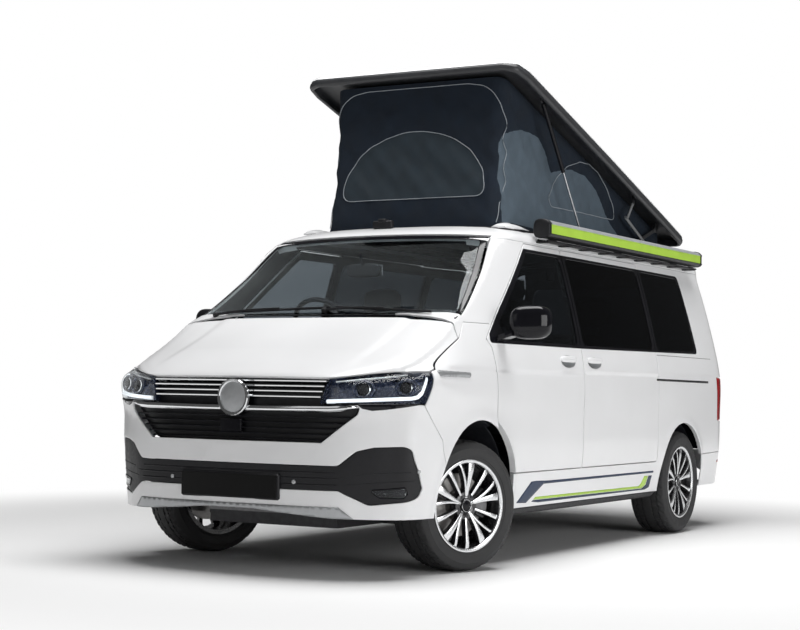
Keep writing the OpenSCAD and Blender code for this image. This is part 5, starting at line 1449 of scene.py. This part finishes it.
def wall_at(u, t):
    """Place on the fabric wall: u along the loop, t from the roof (0) to the lid (1)."""
    x = np.interp(u, WALL_U, WALL_ROUND[:, 0])
    y = np.interp(u, WALL_U, WALL_ROUND[:, 1])
    low = np.stack([x, y, np.full_like(x, 1884.0)], 1)
    high = to_open(np.stack([x, y, np.full_like(x, 1926.0)], 1))
    p = low + (high - low) * t[:, None]
    ahead, behind = (u + 4.0) % WALL_L, (u - 4.0) % WALL_L
    ax, ay = (np.interp(ahead, WALL_U, w) - np.interp(behind, WALL_U, w) for w in WALL_ROUND.T)
    n = np.stack([ay, -ax, 0 * ax], 1)
    n /= np.maximum(np.linalg.norm(n, axis=1, keepdims=True), 1e-9)
    tall = np.clip((high[:, 2] - 1884) / 900, 0, 1)
    pull = np.sin(np.pi * t) * tall
    move = -16 * pull + 14 * tall * (1 - t) ** 5
    for a, b, c, d in ((5.0, 410, 260, 0.4), (3.2, 230, -190, 1.9), (2.2, 130, 150, 3.1),
                       (1.4, 74, -96, 0.7)):
        move = move + a * pull * np.sin(6.2832 * (u / a_round(b) + p[:, 2] / c) + d)
    corner = np.exp(-((np.abs(y) - 582) / 60) ** 2) * np.exp(-((x - 640) / 70) ** 2)
    move = move + 4.0 * corner * np.sin(p[:, 2] / 46 + u / 60) * pull
    front = np.clip((x - 640) / 20, 0, 1)
    move = move - 5.0 * front * np.exp(-((p[:, 2] - 2562) / 9) ** 2)
    return p + n * move[:, None], n


def a_round(b):
    """Nearest wave length that closes on itself round the loop."""
    return WALL_L / max(1, round(WALL_L / b))


gu, gt = np.meshgrid(np.linspace(0, WALL_L, 900, endpoint=False), np.linspace(0, 1, 160))
GRID_UT = np.stack([gu.ravel(), gt.ravel()], 1)
GRID_P = wall_at(GRID_UT[:, 0], GRID_UT[:, 1])[0]


def wall_uv(face, line):
    """(along, up) of an outline given on the front (y, z) or a side (x, z) of the walls."""
    out = []
    if face == "front":
        pick = GRID_P[:, 0] > 520
        cols = [1, 2]
    else:
        pick = (np.sign(GRID_P[:, 1]) == (1 if face == "left" else -1)) & (np.abs(GRID_P[:, 1]) > 500)
        cols = [0, 2]
    near = GRID_P[pick][:, cols]
    ut = GRID_UT[pick]
    for q in line:
        i = np.argmin(((near - q) ** 2).sum(1))
        out.append([ut[i, 0], ut[i, 1] * WALL_UP])
    return np.array(out)


turn = np.linspace(0, math.pi, 40)
FRONT_MOON = np.concatenate([np.stack([486 * np.cos(turn), 2132 + 362 * np.sin(turn)], 1),
                             [[-480, 2104], [-462, 2090]],
                             np.stack([np.linspace(-440, 440, 30), np.full(30, 2086.0)], 1),
                             [[462, 2090], [480, 2104]]])
SIDE_MESH = np.array([[604, 1930], [598, 2400], [574, 2436], [520, 2464], [353, 2506], [180, 2506],
                      [100, 2490], [20, 2446],
                      [-60, 2360], [-105, 2300], [-260, 2338], [-400, 2354], [-597, 2338], [-720, 2296],
                      [-807, 2248],
                      [-983, 2096], [-1160, 1996], [-1240, 1930]], float)
SIDE_MOON = rounded([[-84, 2088], [-62, 2150], [-203, 2288], [-336, 2368], [-514, 2418], [-660, 2420],
                     [-804, 2383], [-950, 2300],
                     [-1067, 2200], [-1128, 2096], [-483, 2094]], 40, 4)
PIPE = [[572, 1925], [576, 2200], [574, 2540], [560, 2630], [520, 2700], [450, 2744], [360, 2760],
        [0, 2764]]
PIPE_FRONT = path(PIPE + [[-y, z] for y, z in PIPE[-2::-1]], 24)


def wall_sheet():
    """The walls' mesh: window outlines are edges of it, so colours change cleanly."""
    loops = [wall_uv("front", resample(FRONT_MOON, 20)), wall_uv("left", resample(SIDE_MESH, 20)),
             wall_uv("right", resample(SIDE_MESH, 20))]
    nt = 34
    edge_t = np.linspace(0, WALL_UP, nt)
    us = np.linspace(0, WALL_L, 330)
    border = [[0, t] for t in edge_t] + [[u, WALL_UP] for u in us[1:]]
    border += [[WALL_L, t] for t in edge_t[-2::-1]]
    border += [[u, 0] for u in us[-2:0:-1]]
    pts = list(border)
    con = [(i, (i + 1) % len(border)) for i in range(len(border))]
    for lp in loops:
        base = len(pts)
        pts += lp.tolist()
        con += [(base + i, base + (i + 1) % len(lp)) for i in range(len(lp))]
    rim = np.array(pts)
    gx, gy = np.meshgrid(us[1:-1], edge_t[1:-1])
    g = np.stack([gx.ravel(), gy.ravel()], 1)
    near = np.concatenate([((c[:, None] - rim[None]) ** 2).sum(2).min(1) for c in np.array_split(g, 40)])
    pts += g[near > 10 ** 2].tolist()
    out = delaunay_2d_cdt([Vector(q) for q in pts], con, [], 0, 1e-3)
    co = np.array([tuple(v) for v in out[0]])
    tri = np.array([f for f in out[2] if len(f) == 3])
    seam = {round(float(t), 2): i for i, (u, t) in enumerate(co) if u < 0.01}
    remap = np.arange(len(co))
    for i, (u, t) in enumerate(co):
        if u > WALL_L - 0.01:
            remap[i] = seam[round(float(t), 2)]
    mid = co[tri].mean(1)
    zone = np.where(inside(loops[0], mid), 1, np.where(inside(loops[1], mid) | inside(loops[2], mid), 2, 0))
    tri = remap[tri]
    used, inv = np.unique(tri, return_inverse=True)
    return wall_at(co[used, 0] % WALL_L, co[used, 1] / WALL_UP)[0], inv.reshape(-1, 3), zone


def fold_with_lid(ob):
    """Give a piece of the wall its own copy of its mesh data."""
    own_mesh(ob)
    return ob


sheet_v, sheet_f, sheet_zone = wall_sheet()
walls = put(build("fabric_walls", sheet_v, sheet_f.tolist(), [CANVAS, FILM, MESH], sheet_zone, sharp=180),
            "body", "canvas",
            "bellows")
lines = [("front", PIPE_FRONT, False), ("front", resample(FRONT_MOON, 20), True),
         ("left", resample(SIDE_MOON, 20), True),
         ("right", resample(SIDE_MOON, 20), True)]
parts = []
for face, line, closed in lines:
    ut = wall_uv(face, line)
    p, n = wall_at(ut[:, 0], ut[:, 1] / WALL_UP)
    smooth = p.copy()
    for _ in range(2):
        mid = (np.roll(smooth, 1, 0) + np.roll(smooth, -1, 0)) / 2
        if not closed:
            mid[0], mid[-1] = smooth[0], smooth[-1]
        smooth = 0.5 * smooth + 0.5 * mid
    parts.append(tube(smooth + n * 2.5, 2.6, 6, closed=closed) + (0,))
piping = piece("fabric_piping", parts, [PIPING], "body", "canvas")
hem = wall_at(WALL_U[:-1], np.full(len(WALL_LOOP), 0.006))[0]
hem_ob = piece("fabric_hem", [tube(hem, 7, 8, closed=True) + (0,)], [PLASTIC], "body", "black_plastic")
wall_foot = wall_at(WALL_U[:-1], np.zeros(len(WALL_LOOP)))[0]
wall_head = wall_at(WALL_U[:-1], np.ones(len(WALL_LOOP)))[0]
fold_with_lid(walls)
fold_with_lid(piping)

# Awning case: grey top, lime face, black ends and the slatted rail under it
CASE = np.array([[0, 52], [2, 24], [14, 6], [36, 0], [82, 2], [98, 8], [106, 20], [106, 24], [103, 25],
                 [103, 76], [106, 77],
                 [104, 84], [88, 100], [62, 107], [34, 108], [12, 100], [3, 80]])
CASE_AT = np.array([772.0, 1834.0])
rows = [[[x, y + CASE_AT[0], z + CASE_AT[1]] for y, z in CASE] for x in np.linspace(-1972, 546, 40)]
case_v, case_f = loft(rows)
case_i = [{7: 1, 8: 1, 9: 1}.get(k % len(CASE), 0 if 10 <= k % len(CASE) or k % len(CASE) < 1 else 2)
          for k in range(len(case_f) - 2)] + [2, 2]
verts, faces, index = case_v.tolist(), list(case_f), list(case_i)
mid_case = CASE.mean(0)
for x0, way in ((546, 1), (-1972, -1)):
    rows = []
    for dx, k in ((-10, 1.05), (4, 1.07), (14, 1.04), (20, 0.96), (23, 0.8), (24, 0.5)):
        rows.append([[x0 + way * dx, y, z] for y, z in (CASE - mid_case) * k + mid_case + CASE_AT])
    cv, cf = loft(rows)
    base = len(verts)
    verts += cv.tolist()
    faces += [[base + i for i in (f if way < 0 else f[::-1])] for f in cf]
    index += [2] * len(cf)
put(build("awning_case", verts, faces, [AWNING_TOP, LIME, PLASTIC], index, sharp=30), "body", "lime_case",
    "awning")
parts = []
for k, (y, z) in enumerate(((786, 1822), (806, 1818), (826, 1816), (846, 1818))):
    parts.append(block([-1950, y - 6, z - 6], [530, y + 6, z + 5], 3) + (0,))
for x in np.arange(-1900, 520, 300):
    parts.append(block([x - 25, 768, 1806], [x + 25, 852, 1814], 3) + (0,))
for x in (-1700, -700, 300):
    parts.append(block([x - 40, 742, 1820], [x + 40, 786, 1868], 6) + (0,))
piece("awning_rail", parts, [PLASTIC], "body", "black_plastic")


# Raised roof corners beside the lid, and the lid's front catch
def fairing():
    """One low hump on the roof's recess, rising to the front."""
    rows = []
    for k in np.linspace(0, 1, 24):
        if k < 0.7:
            e = math.sin(math.pi * min(1.0, 0.06 + 0.62 * k / 0.7))
        else:
            e = math.sqrt(max(0.03, 1 - ((k - 0.55) / 0.46) ** 2))
        h = 4 + 44 * max(e, 0.0) * (0.35 + 0.65 * k)
        row = []
        for a in np.linspace(0, math.pi, 15):
            row.append([380 + 384 * k, 644 + 48 * math.cos(a), 1878 + h * max(0.0, math.sin(a)) ** 0.7])
        rows.append(row)
    return loft(rows)


fv, ff = fairing()
piece("roof_fairings", both_sides([(fv, ff, 0)]), [PAINT], "body", "white_paint", sharp=60)
parts = [block([828, -140, 1888], [866, -8, 1936], 12) + (0,),
         block([820, -100, 1924], [872, -48, 1946], 8) + (0,)]
piece("lid_catch", parts, [PLASTIC], "body", "black_plastic")


# Inside: seats, dashboard, steering wheel, mirror, kitchen
def puff(v, f, cap):
    """Cloth with pressure on a closed cushion mesh (mm): its settled points, moved by cap at most."""
    me = bpy.data.meshes.new("pad_cloth")
    me.from_pydata((v * MM).tolist(), [], [list(q) for q in f])
    ob = bpy.data.objects.new("pad_cloth", me)
    scene = bpy.context.scene
    scene.collection.objects.link(ob)
    mod = ob.modifiers.new("Cloth", "CLOTH")
    mod.settings.use_pressure = True
    mod.settings.uniform_pressure_force = 4.0
    mod.settings.effector_weights.gravity = 0.0
    mod.collision_settings.use_collision = False
    mod.point_cache.frame_end = 20
    for step in range(1, 21):
        scene.frame_set(step)
    done = ob.evaluated_get(bpy.context.evaluated_depsgraph_get())
    out = np.empty(3 * len(v))
    done.data.vertices.foreach_get("co", out)
    bpy.data.objects.remove(ob)
    bpy.data.meshes.remove(me)
    scene.frame_set(1)
    move = out.reshape(-1, 3) / MM - v
    far = np.linalg.norm(move, axis=1, keepdims=True)
    return v + move * np.minimum(1.0, cap / np.maximum(far, 1e-6))


def pad(size, crown=0.16, edge=4.5, n=20, seams=(), cap=0.0, rest=1.0):
    """Cushion about the origin: crowned closed form, blown up by cloth, with sewn channels on top (+z)."""
    a = np.linspace(-math.pi, math.pi, 4 * n, endpoint=False)
    b = np.linspace(-math.pi / 2, math.pi / 2, 2 * n + 1)
    e = 2.0 / edge

    def sg(v):
        return np.sign(v) * np.abs(v) ** e

    pts = []
    for t in b:
        x = sg(np.cos(t)) * sg(np.cos(a))
        y = sg(np.cos(t)) * sg(np.sin(a))
        z = np.full_like(x, sg(np.sin(t)))
        dome = np.clip(1 - x * x, 0, 1) * np.clip(1 - y * y, 0, 1)
        z = z * (1 + crown * dome)
        pull = 1 - 0.035 * (1 - np.abs(z).clip(0, 1) ** 2)
        pts.append(np.stack([x * pull * size[0] / 2, y * pull * size[1] / 2, z * size[2] / 2], 1))
    v, f = np.concatenate(pts), grid_faces(len(b), len(a), wrap_cols=True)
    if cap:
        v = puff(v, f, cap)
    for s in seams:
        v[:, 2] -= np.where(v[:, 2] > 0.1 * size[2], 9.0 * np.exp(-((v[:, 1] - s) / 8.0) ** 2), 0)
    v[:, 2] = np.maximum(v[:, 2], -rest * size[2] / 2)
    return v, f


def placed(part, turn, at):
    """Cushion turned about y (degrees) and set at a place."""
    v, f = part
    c, s = math.cos(math.radians(turn)), math.sin(math.radians(turn))
    v = np.stack([c * v[:, 0] + s * v[:, 2], v[:, 1], -s * v[:, 0] + c * v[:, 2]], 1)
    return v + np.asarray(at, float), f


def seat(name, x, y, width, heads):
    """One seat: base box, squab, backrest and headrests, each its own padded piece."""
    side = width / 2
    channels = (-0.28 * width, 0.28 * width)
    squab = pad((480, width - 40, 112), 0.14, 5.0, 28, channels, 24.0, 0.9)
    back = pad((590, width - 44, 104), 0.12, 5.0, 28, channels, 24.0)
    ob = piece(name + "_squab", [placed(squab, -3, [x + 30, y, 716]) + (0,)], [FABRIC], "body",
               "seat_fabric", sharp=180)
    ob = piece(name + "_back", [placed(back, -76, [x - 290, y, 1060]) + (0,)], [FABRIC], "body",
               "seat_fabric", sharp=180)
    parts = []
    for hy in heads:
        parts.append(placed(pad((190, 258, 86), 0.14, 3.6, 16, (), 16.0), -80, [x - 392, y + hy, 1468])
                     + (0,))
        for s in (-1, 1):
            parts.append(tube([[x - 372, y + hy + s * 55, 1330], [x - 386, y + hy + s * 55, 1400]], 6, 8)
                         + (1,))
    ob = piece(name + "_headrest", parts, [FABRIC, STEEL], "body", "seat_fabric", sharp=60)
    base = [block([x - 250, y - side + 30, 330], [x + 230, y + side - 30, 650], 24) + (0,),
            block([x - 300, y - side + 8, 640], [x + 250, y - side + 30, 700], 8) + (0,),
            block([x - 300, y + side - 30, 640], [x + 250, y + side - 8, 700], 8) + (0,)]
    return piece(name + "_base", base, [TRIM_IN], "body", "interior_dark")


seat_ob = seat("seat_left", 714, 380, 500, (0,))
seat("seat_right", 714, -380, 500, (0,))
seat("bench", -586, 200, 1120, (-280, 280))
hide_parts("seats")

DASH = np.array([[1500, 830], [1500, 1262], [1440, 1276], [1330, 1262], [1210, 1214], [1110, 1152],
                 [1062, 1060], [1070, 1000],
                 [1120, 880], [1160, 830]])
DASH = rounded(DASH, 26, 4)
rows = []
for y in np.linspace(-762, 762, 49):
    hood = 26 * math.exp(-((y + 380) / 150) ** 4)
    mid = 14 * math.exp(-(y / 170) ** 4)
    row = []
    for x, z in DASH:
        w = np.clip((1330 - x) / 150, 0, 1) * np.clip((z - 1080) / 60, 0, 1)
        row.append([x - mid * np.clip((1240 - x) / 120, 0, 1), y, z + hood * w])
    rows.append(row)
parts = [loft(rows) + (0,)]
for y in (-690, -130, 130, 690):
    for k in range(4):
        parts.append(block([1064, y - 56, 1062 + 18 * k], [1092, y + 56, 1070 + 18 * k], 2) + (1,))
parts.append(block([1050, -104, 940], [1076, 104, 1050], 10) + (1,))
parts.append(block([1086, -478, 1100], [1130, -282, 1176], 20) + (1,))
piece("dash_skin", parts, [TRIM_IN, GLOSS], "body", "interior_dark", "dashboard")

tilt = math.radians(28)
CENTRE = np.array([1010.0, -380.0, 1290.0])
E_UP = np.array([math.sin(tilt), 0, math.cos(tilt)])
E_Y = np.array([0, 1.0, 0])
AXIS = np.cross(E_Y, E_UP)
a = np.linspace(0, 2 * math.pi, 64, endpoint=False)
rim_line = CENTRE + 188 * (np.cos(a)[:, None] * E_Y + np.sin(a)[:, None] * E_UP)
parts = [tube(rim_line, 15, 12, closed=True) + (0,)]
for ang in (0, 180, 270):
    way = math.cos(math.radians(ang)) * E_Y + math.sin(math.radians(ang)) * E_UP
    parts.append(tube([CENTRE + way * k for k in np.linspace(40, 180, 8)], np.linspace(22, 12, 8), 10)
                 + (1,))
parts.append(turned([(0.5, -30), (58, -30), (70, -10), (66, 12), (40, 22), (0.5, 24)], CENTRE,
                    -AXIS if AXIS[0] > 0 else AXIS, 40) + (0,))
column = [CENTRE + k * (np.array([1.0, 0, -0.32])) for k in np.linspace(20, 190, 6)]
parts.append(tube(column, np.linspace(34, 48, 6), 14) + (0,))
piece("steering_wheel_skin", parts, [TRIM_IN, GLOSS], "body", "interior_dark", "steering_wheel")

parts = [placed(pad((46, 232, 78), 0.05, 4.0, 12), 0, [1128, -30, 1618]) + (0,),
         tube([[1140, -30, 1640], [1168, -30, 1690], [1176, -30, 1716]], 9, 8) + (0,),
         block([1104, -138, 1586], [1107, 78, 1650], 1) + (1,)]
piece("inside_mirror", parts, [TRIM_IN, CHROME], "body", "interior_dark")

parts = [block([-616, -872, 330], [234, -548, 1050], 10) + (0,),
         block([-624, -874, 1050], [242, -542, 1084], 8) + (1,)]
for x0, x1 in ((-606, -330), (-322, -52), (-44, 226)):
    for z0, z1 in ((350, 700), (710, 1036)):
        parts.append(block([x0, -548, z0], [x1, -540, z1], 4) + (0,))
        parts.append(block([(x0 + x1) / 2 - 40, -540, z1 - 40], [(x0 + x1) / 2 + 40, -532, z1 - 28], 3)
                     + (1,))
parts.append(block([-180, -820, 1084], [160, -600, 1092], 6) + (2,))
parts.append(turned([(0.5, 0), (150, 0), (152, 6), (140, 8), (132, 4), (0.5, 4)], [-420, -706, 1084],
                    [0.0, 0.01, 1.0], 40) + (2,))
piece("kitchen_skin", parts, [WOOD, TRIM_IN, STEEL], "body", "furniture", "kitchen_unit")

# Finishes on the solids that stay as they are
FINISH = {"floor_pan": TRIM_IN, "engine_block": CAST, "underbody": STEEL, "rear_axle": STEEL,
          "hinge_brackets": STEEL,
          "knuckle_left": CAST, "knuckle_right": CAST, "poptop_arms": STEEL, "lower_links": SILVER,
          "upper_links": SILVER,
          "strut_tubes": GLOSS, "strut_rods": ROD}
for node, m in FINISH.items():
    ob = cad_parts[node]
    ob.data.materials.clear()
    ob.data.materials.append(m)


# Camera, floor and light
def add_camera():
    """Camera fitted to the photo: its place, turn and lens."""
    yaw, pitch, roll = (math.radians(a) for a in (29.96, 2.39, 0.91))
    f = Vector((-math.cos(yaw) * math.cos(pitch), -math.sin(yaw) * math.cos(pitch), math.sin(pitch)))
    r = f.cross(Vector((0, 0, 1))).normalized()
    u = r.cross(f)
    r2 = math.cos(roll) * r + math.sin(roll) * u
    u2 = -math.sin(roll) * r + math.cos(roll) * u
    cam = bpy.data.cameras.new("camera")
    cam.sensor_fit = "HORIZONTAL"
    cam.sensor_width = 36.0
    cam.lens = 36.0 * 1695.4 / 800
    cam.clip_end = 200.0
    ob = bpy.data.objects.new("camera", cam)
    bpy.context.scene.collection.objects.link(ob)
    m = Matrix((r2, u2, -f)).transposed().to_4x4()
    m.translation = Vector((9.4620, 5.0155, 0.9614))
    ob.matrix_world = m
    bpy.context.scene.camera = ob


add_camera()


def add_light(name, place, aim, size, power):
    """One soft rectangular lamp."""
    li = bpy.data.lights.new(name, "AREA")
    li.shape = "RECTANGLE"
    li.size = size[0]
    li.size_y = size[1]
    li.energy = power
    ob = bpy.data.objects.new(name, li)
    ob.location = place
    ob.rotation_euler = (Vector(aim) - Vector(place)).to_track_quat("-Z", "Y").to_euler()
    bpy.context.scene.collection.objects.link(ob)
    return ob


def add_stage():
    """World, lamps and floor."""
    scene = bpy.context.scene
    scene.view_settings.view_transform = "Standard"
    world = bpy.data.worlds.new("studio")
    scene.world = world
    world.use_nodes = True
    nt = world.node_tree
    bg = nt.nodes["Background"]
    bg.inputs["Color"].default_value = (1, 1, 1, 1)
    path = nt.nodes.new("ShaderNodeLightPath")
    one = nt.nodes.new("ShaderNodeMath")
    one.operation = "MAXIMUM"
    nt.links.new(path.outputs["Is Camera Ray"], one.inputs[0])
    nt.links.new(path.outputs["Is Transmission Ray"], one.inputs[1])
    level = nt.nodes.new("ShaderNodeMapRange")
    level.inputs["To Min"].default_value = 0.08
    level.inputs["To Max"].default_value = 1.0
    nt.links.new(one.outputs[0], level.inputs["Value"])
    nt.links.new(level.outputs["Result"], bg.inputs["Strength"])
    add_light("key", (2.5, 11.0, 2.4), (0.0, 0.5, 1.1), (9, 3.6), 470)
    add_light("front", (11.0, -2.0, 4.0), (1.0, 0.0, 0.9), (6, 4), 40)
    add_light("top", (0.8, 0.9, 7.5), (0.2, 0.2, 0.0), (6, 4.5), 700)
    floor = build("studio_floor", [[-14000, -14000, 0], [14000, -14000, 0], [14000, 14000, 0],
                                   [-14000, 14000, 0]],
                  [[0, 1, 2, 3]], [floor_material()], smooth=False)


def floor_material():
    """Pale floor that keeps the shadow and fades to plain white well away from the part."""
    m = bpy.data.materials.new("studio_floor")
    m.use_nodes = True
    nt = m.node_tree
    b = nt.nodes["Principled BSDF"]
    b.inputs["Base Color"].default_value = (0.84, 0.84, 0.84, 1)
    b.inputs["Roughness"].default_value = 0.8
    b.inputs["Specular IOR Level"].default_value = 0.0
    glow = nt.nodes.new("ShaderNodeEmission")
    glow.inputs["Color"].default_value = (1, 1, 1, 1)
    tc = nt.nodes.new("ShaderNodeTexCoord")
    size = nt.nodes.new("ShaderNodeVectorMath")
    size.operation = "LENGTH"
    nt.links.new(tc.outputs["Object"], size.inputs[0])
    fade = nt.nodes.new("ShaderNodeMapRange")
    fade.interpolation_type = "SMOOTHSTEP"
    fade.inputs["From Min"].default_value = 3.0
    fade.inputs["From Max"].default_value = 5.5
    nt.links.new(size.outputs["Value"], fade.inputs["Value"])
    mix = nt.nodes.new("ShaderNodeMixShader")
    nt.links.new(fade.outputs["Result"], mix.inputs["Fac"])
    nt.links.new(b.outputs["BSDF"], mix.inputs[1])
    nt.links.new(glow.outputs["Emission"], mix.inputs[2])
    nt.links.new(mix.outputs["Shader"], nt.nodes["Material Output"].inputs["Surface"])
    return m


add_stage()
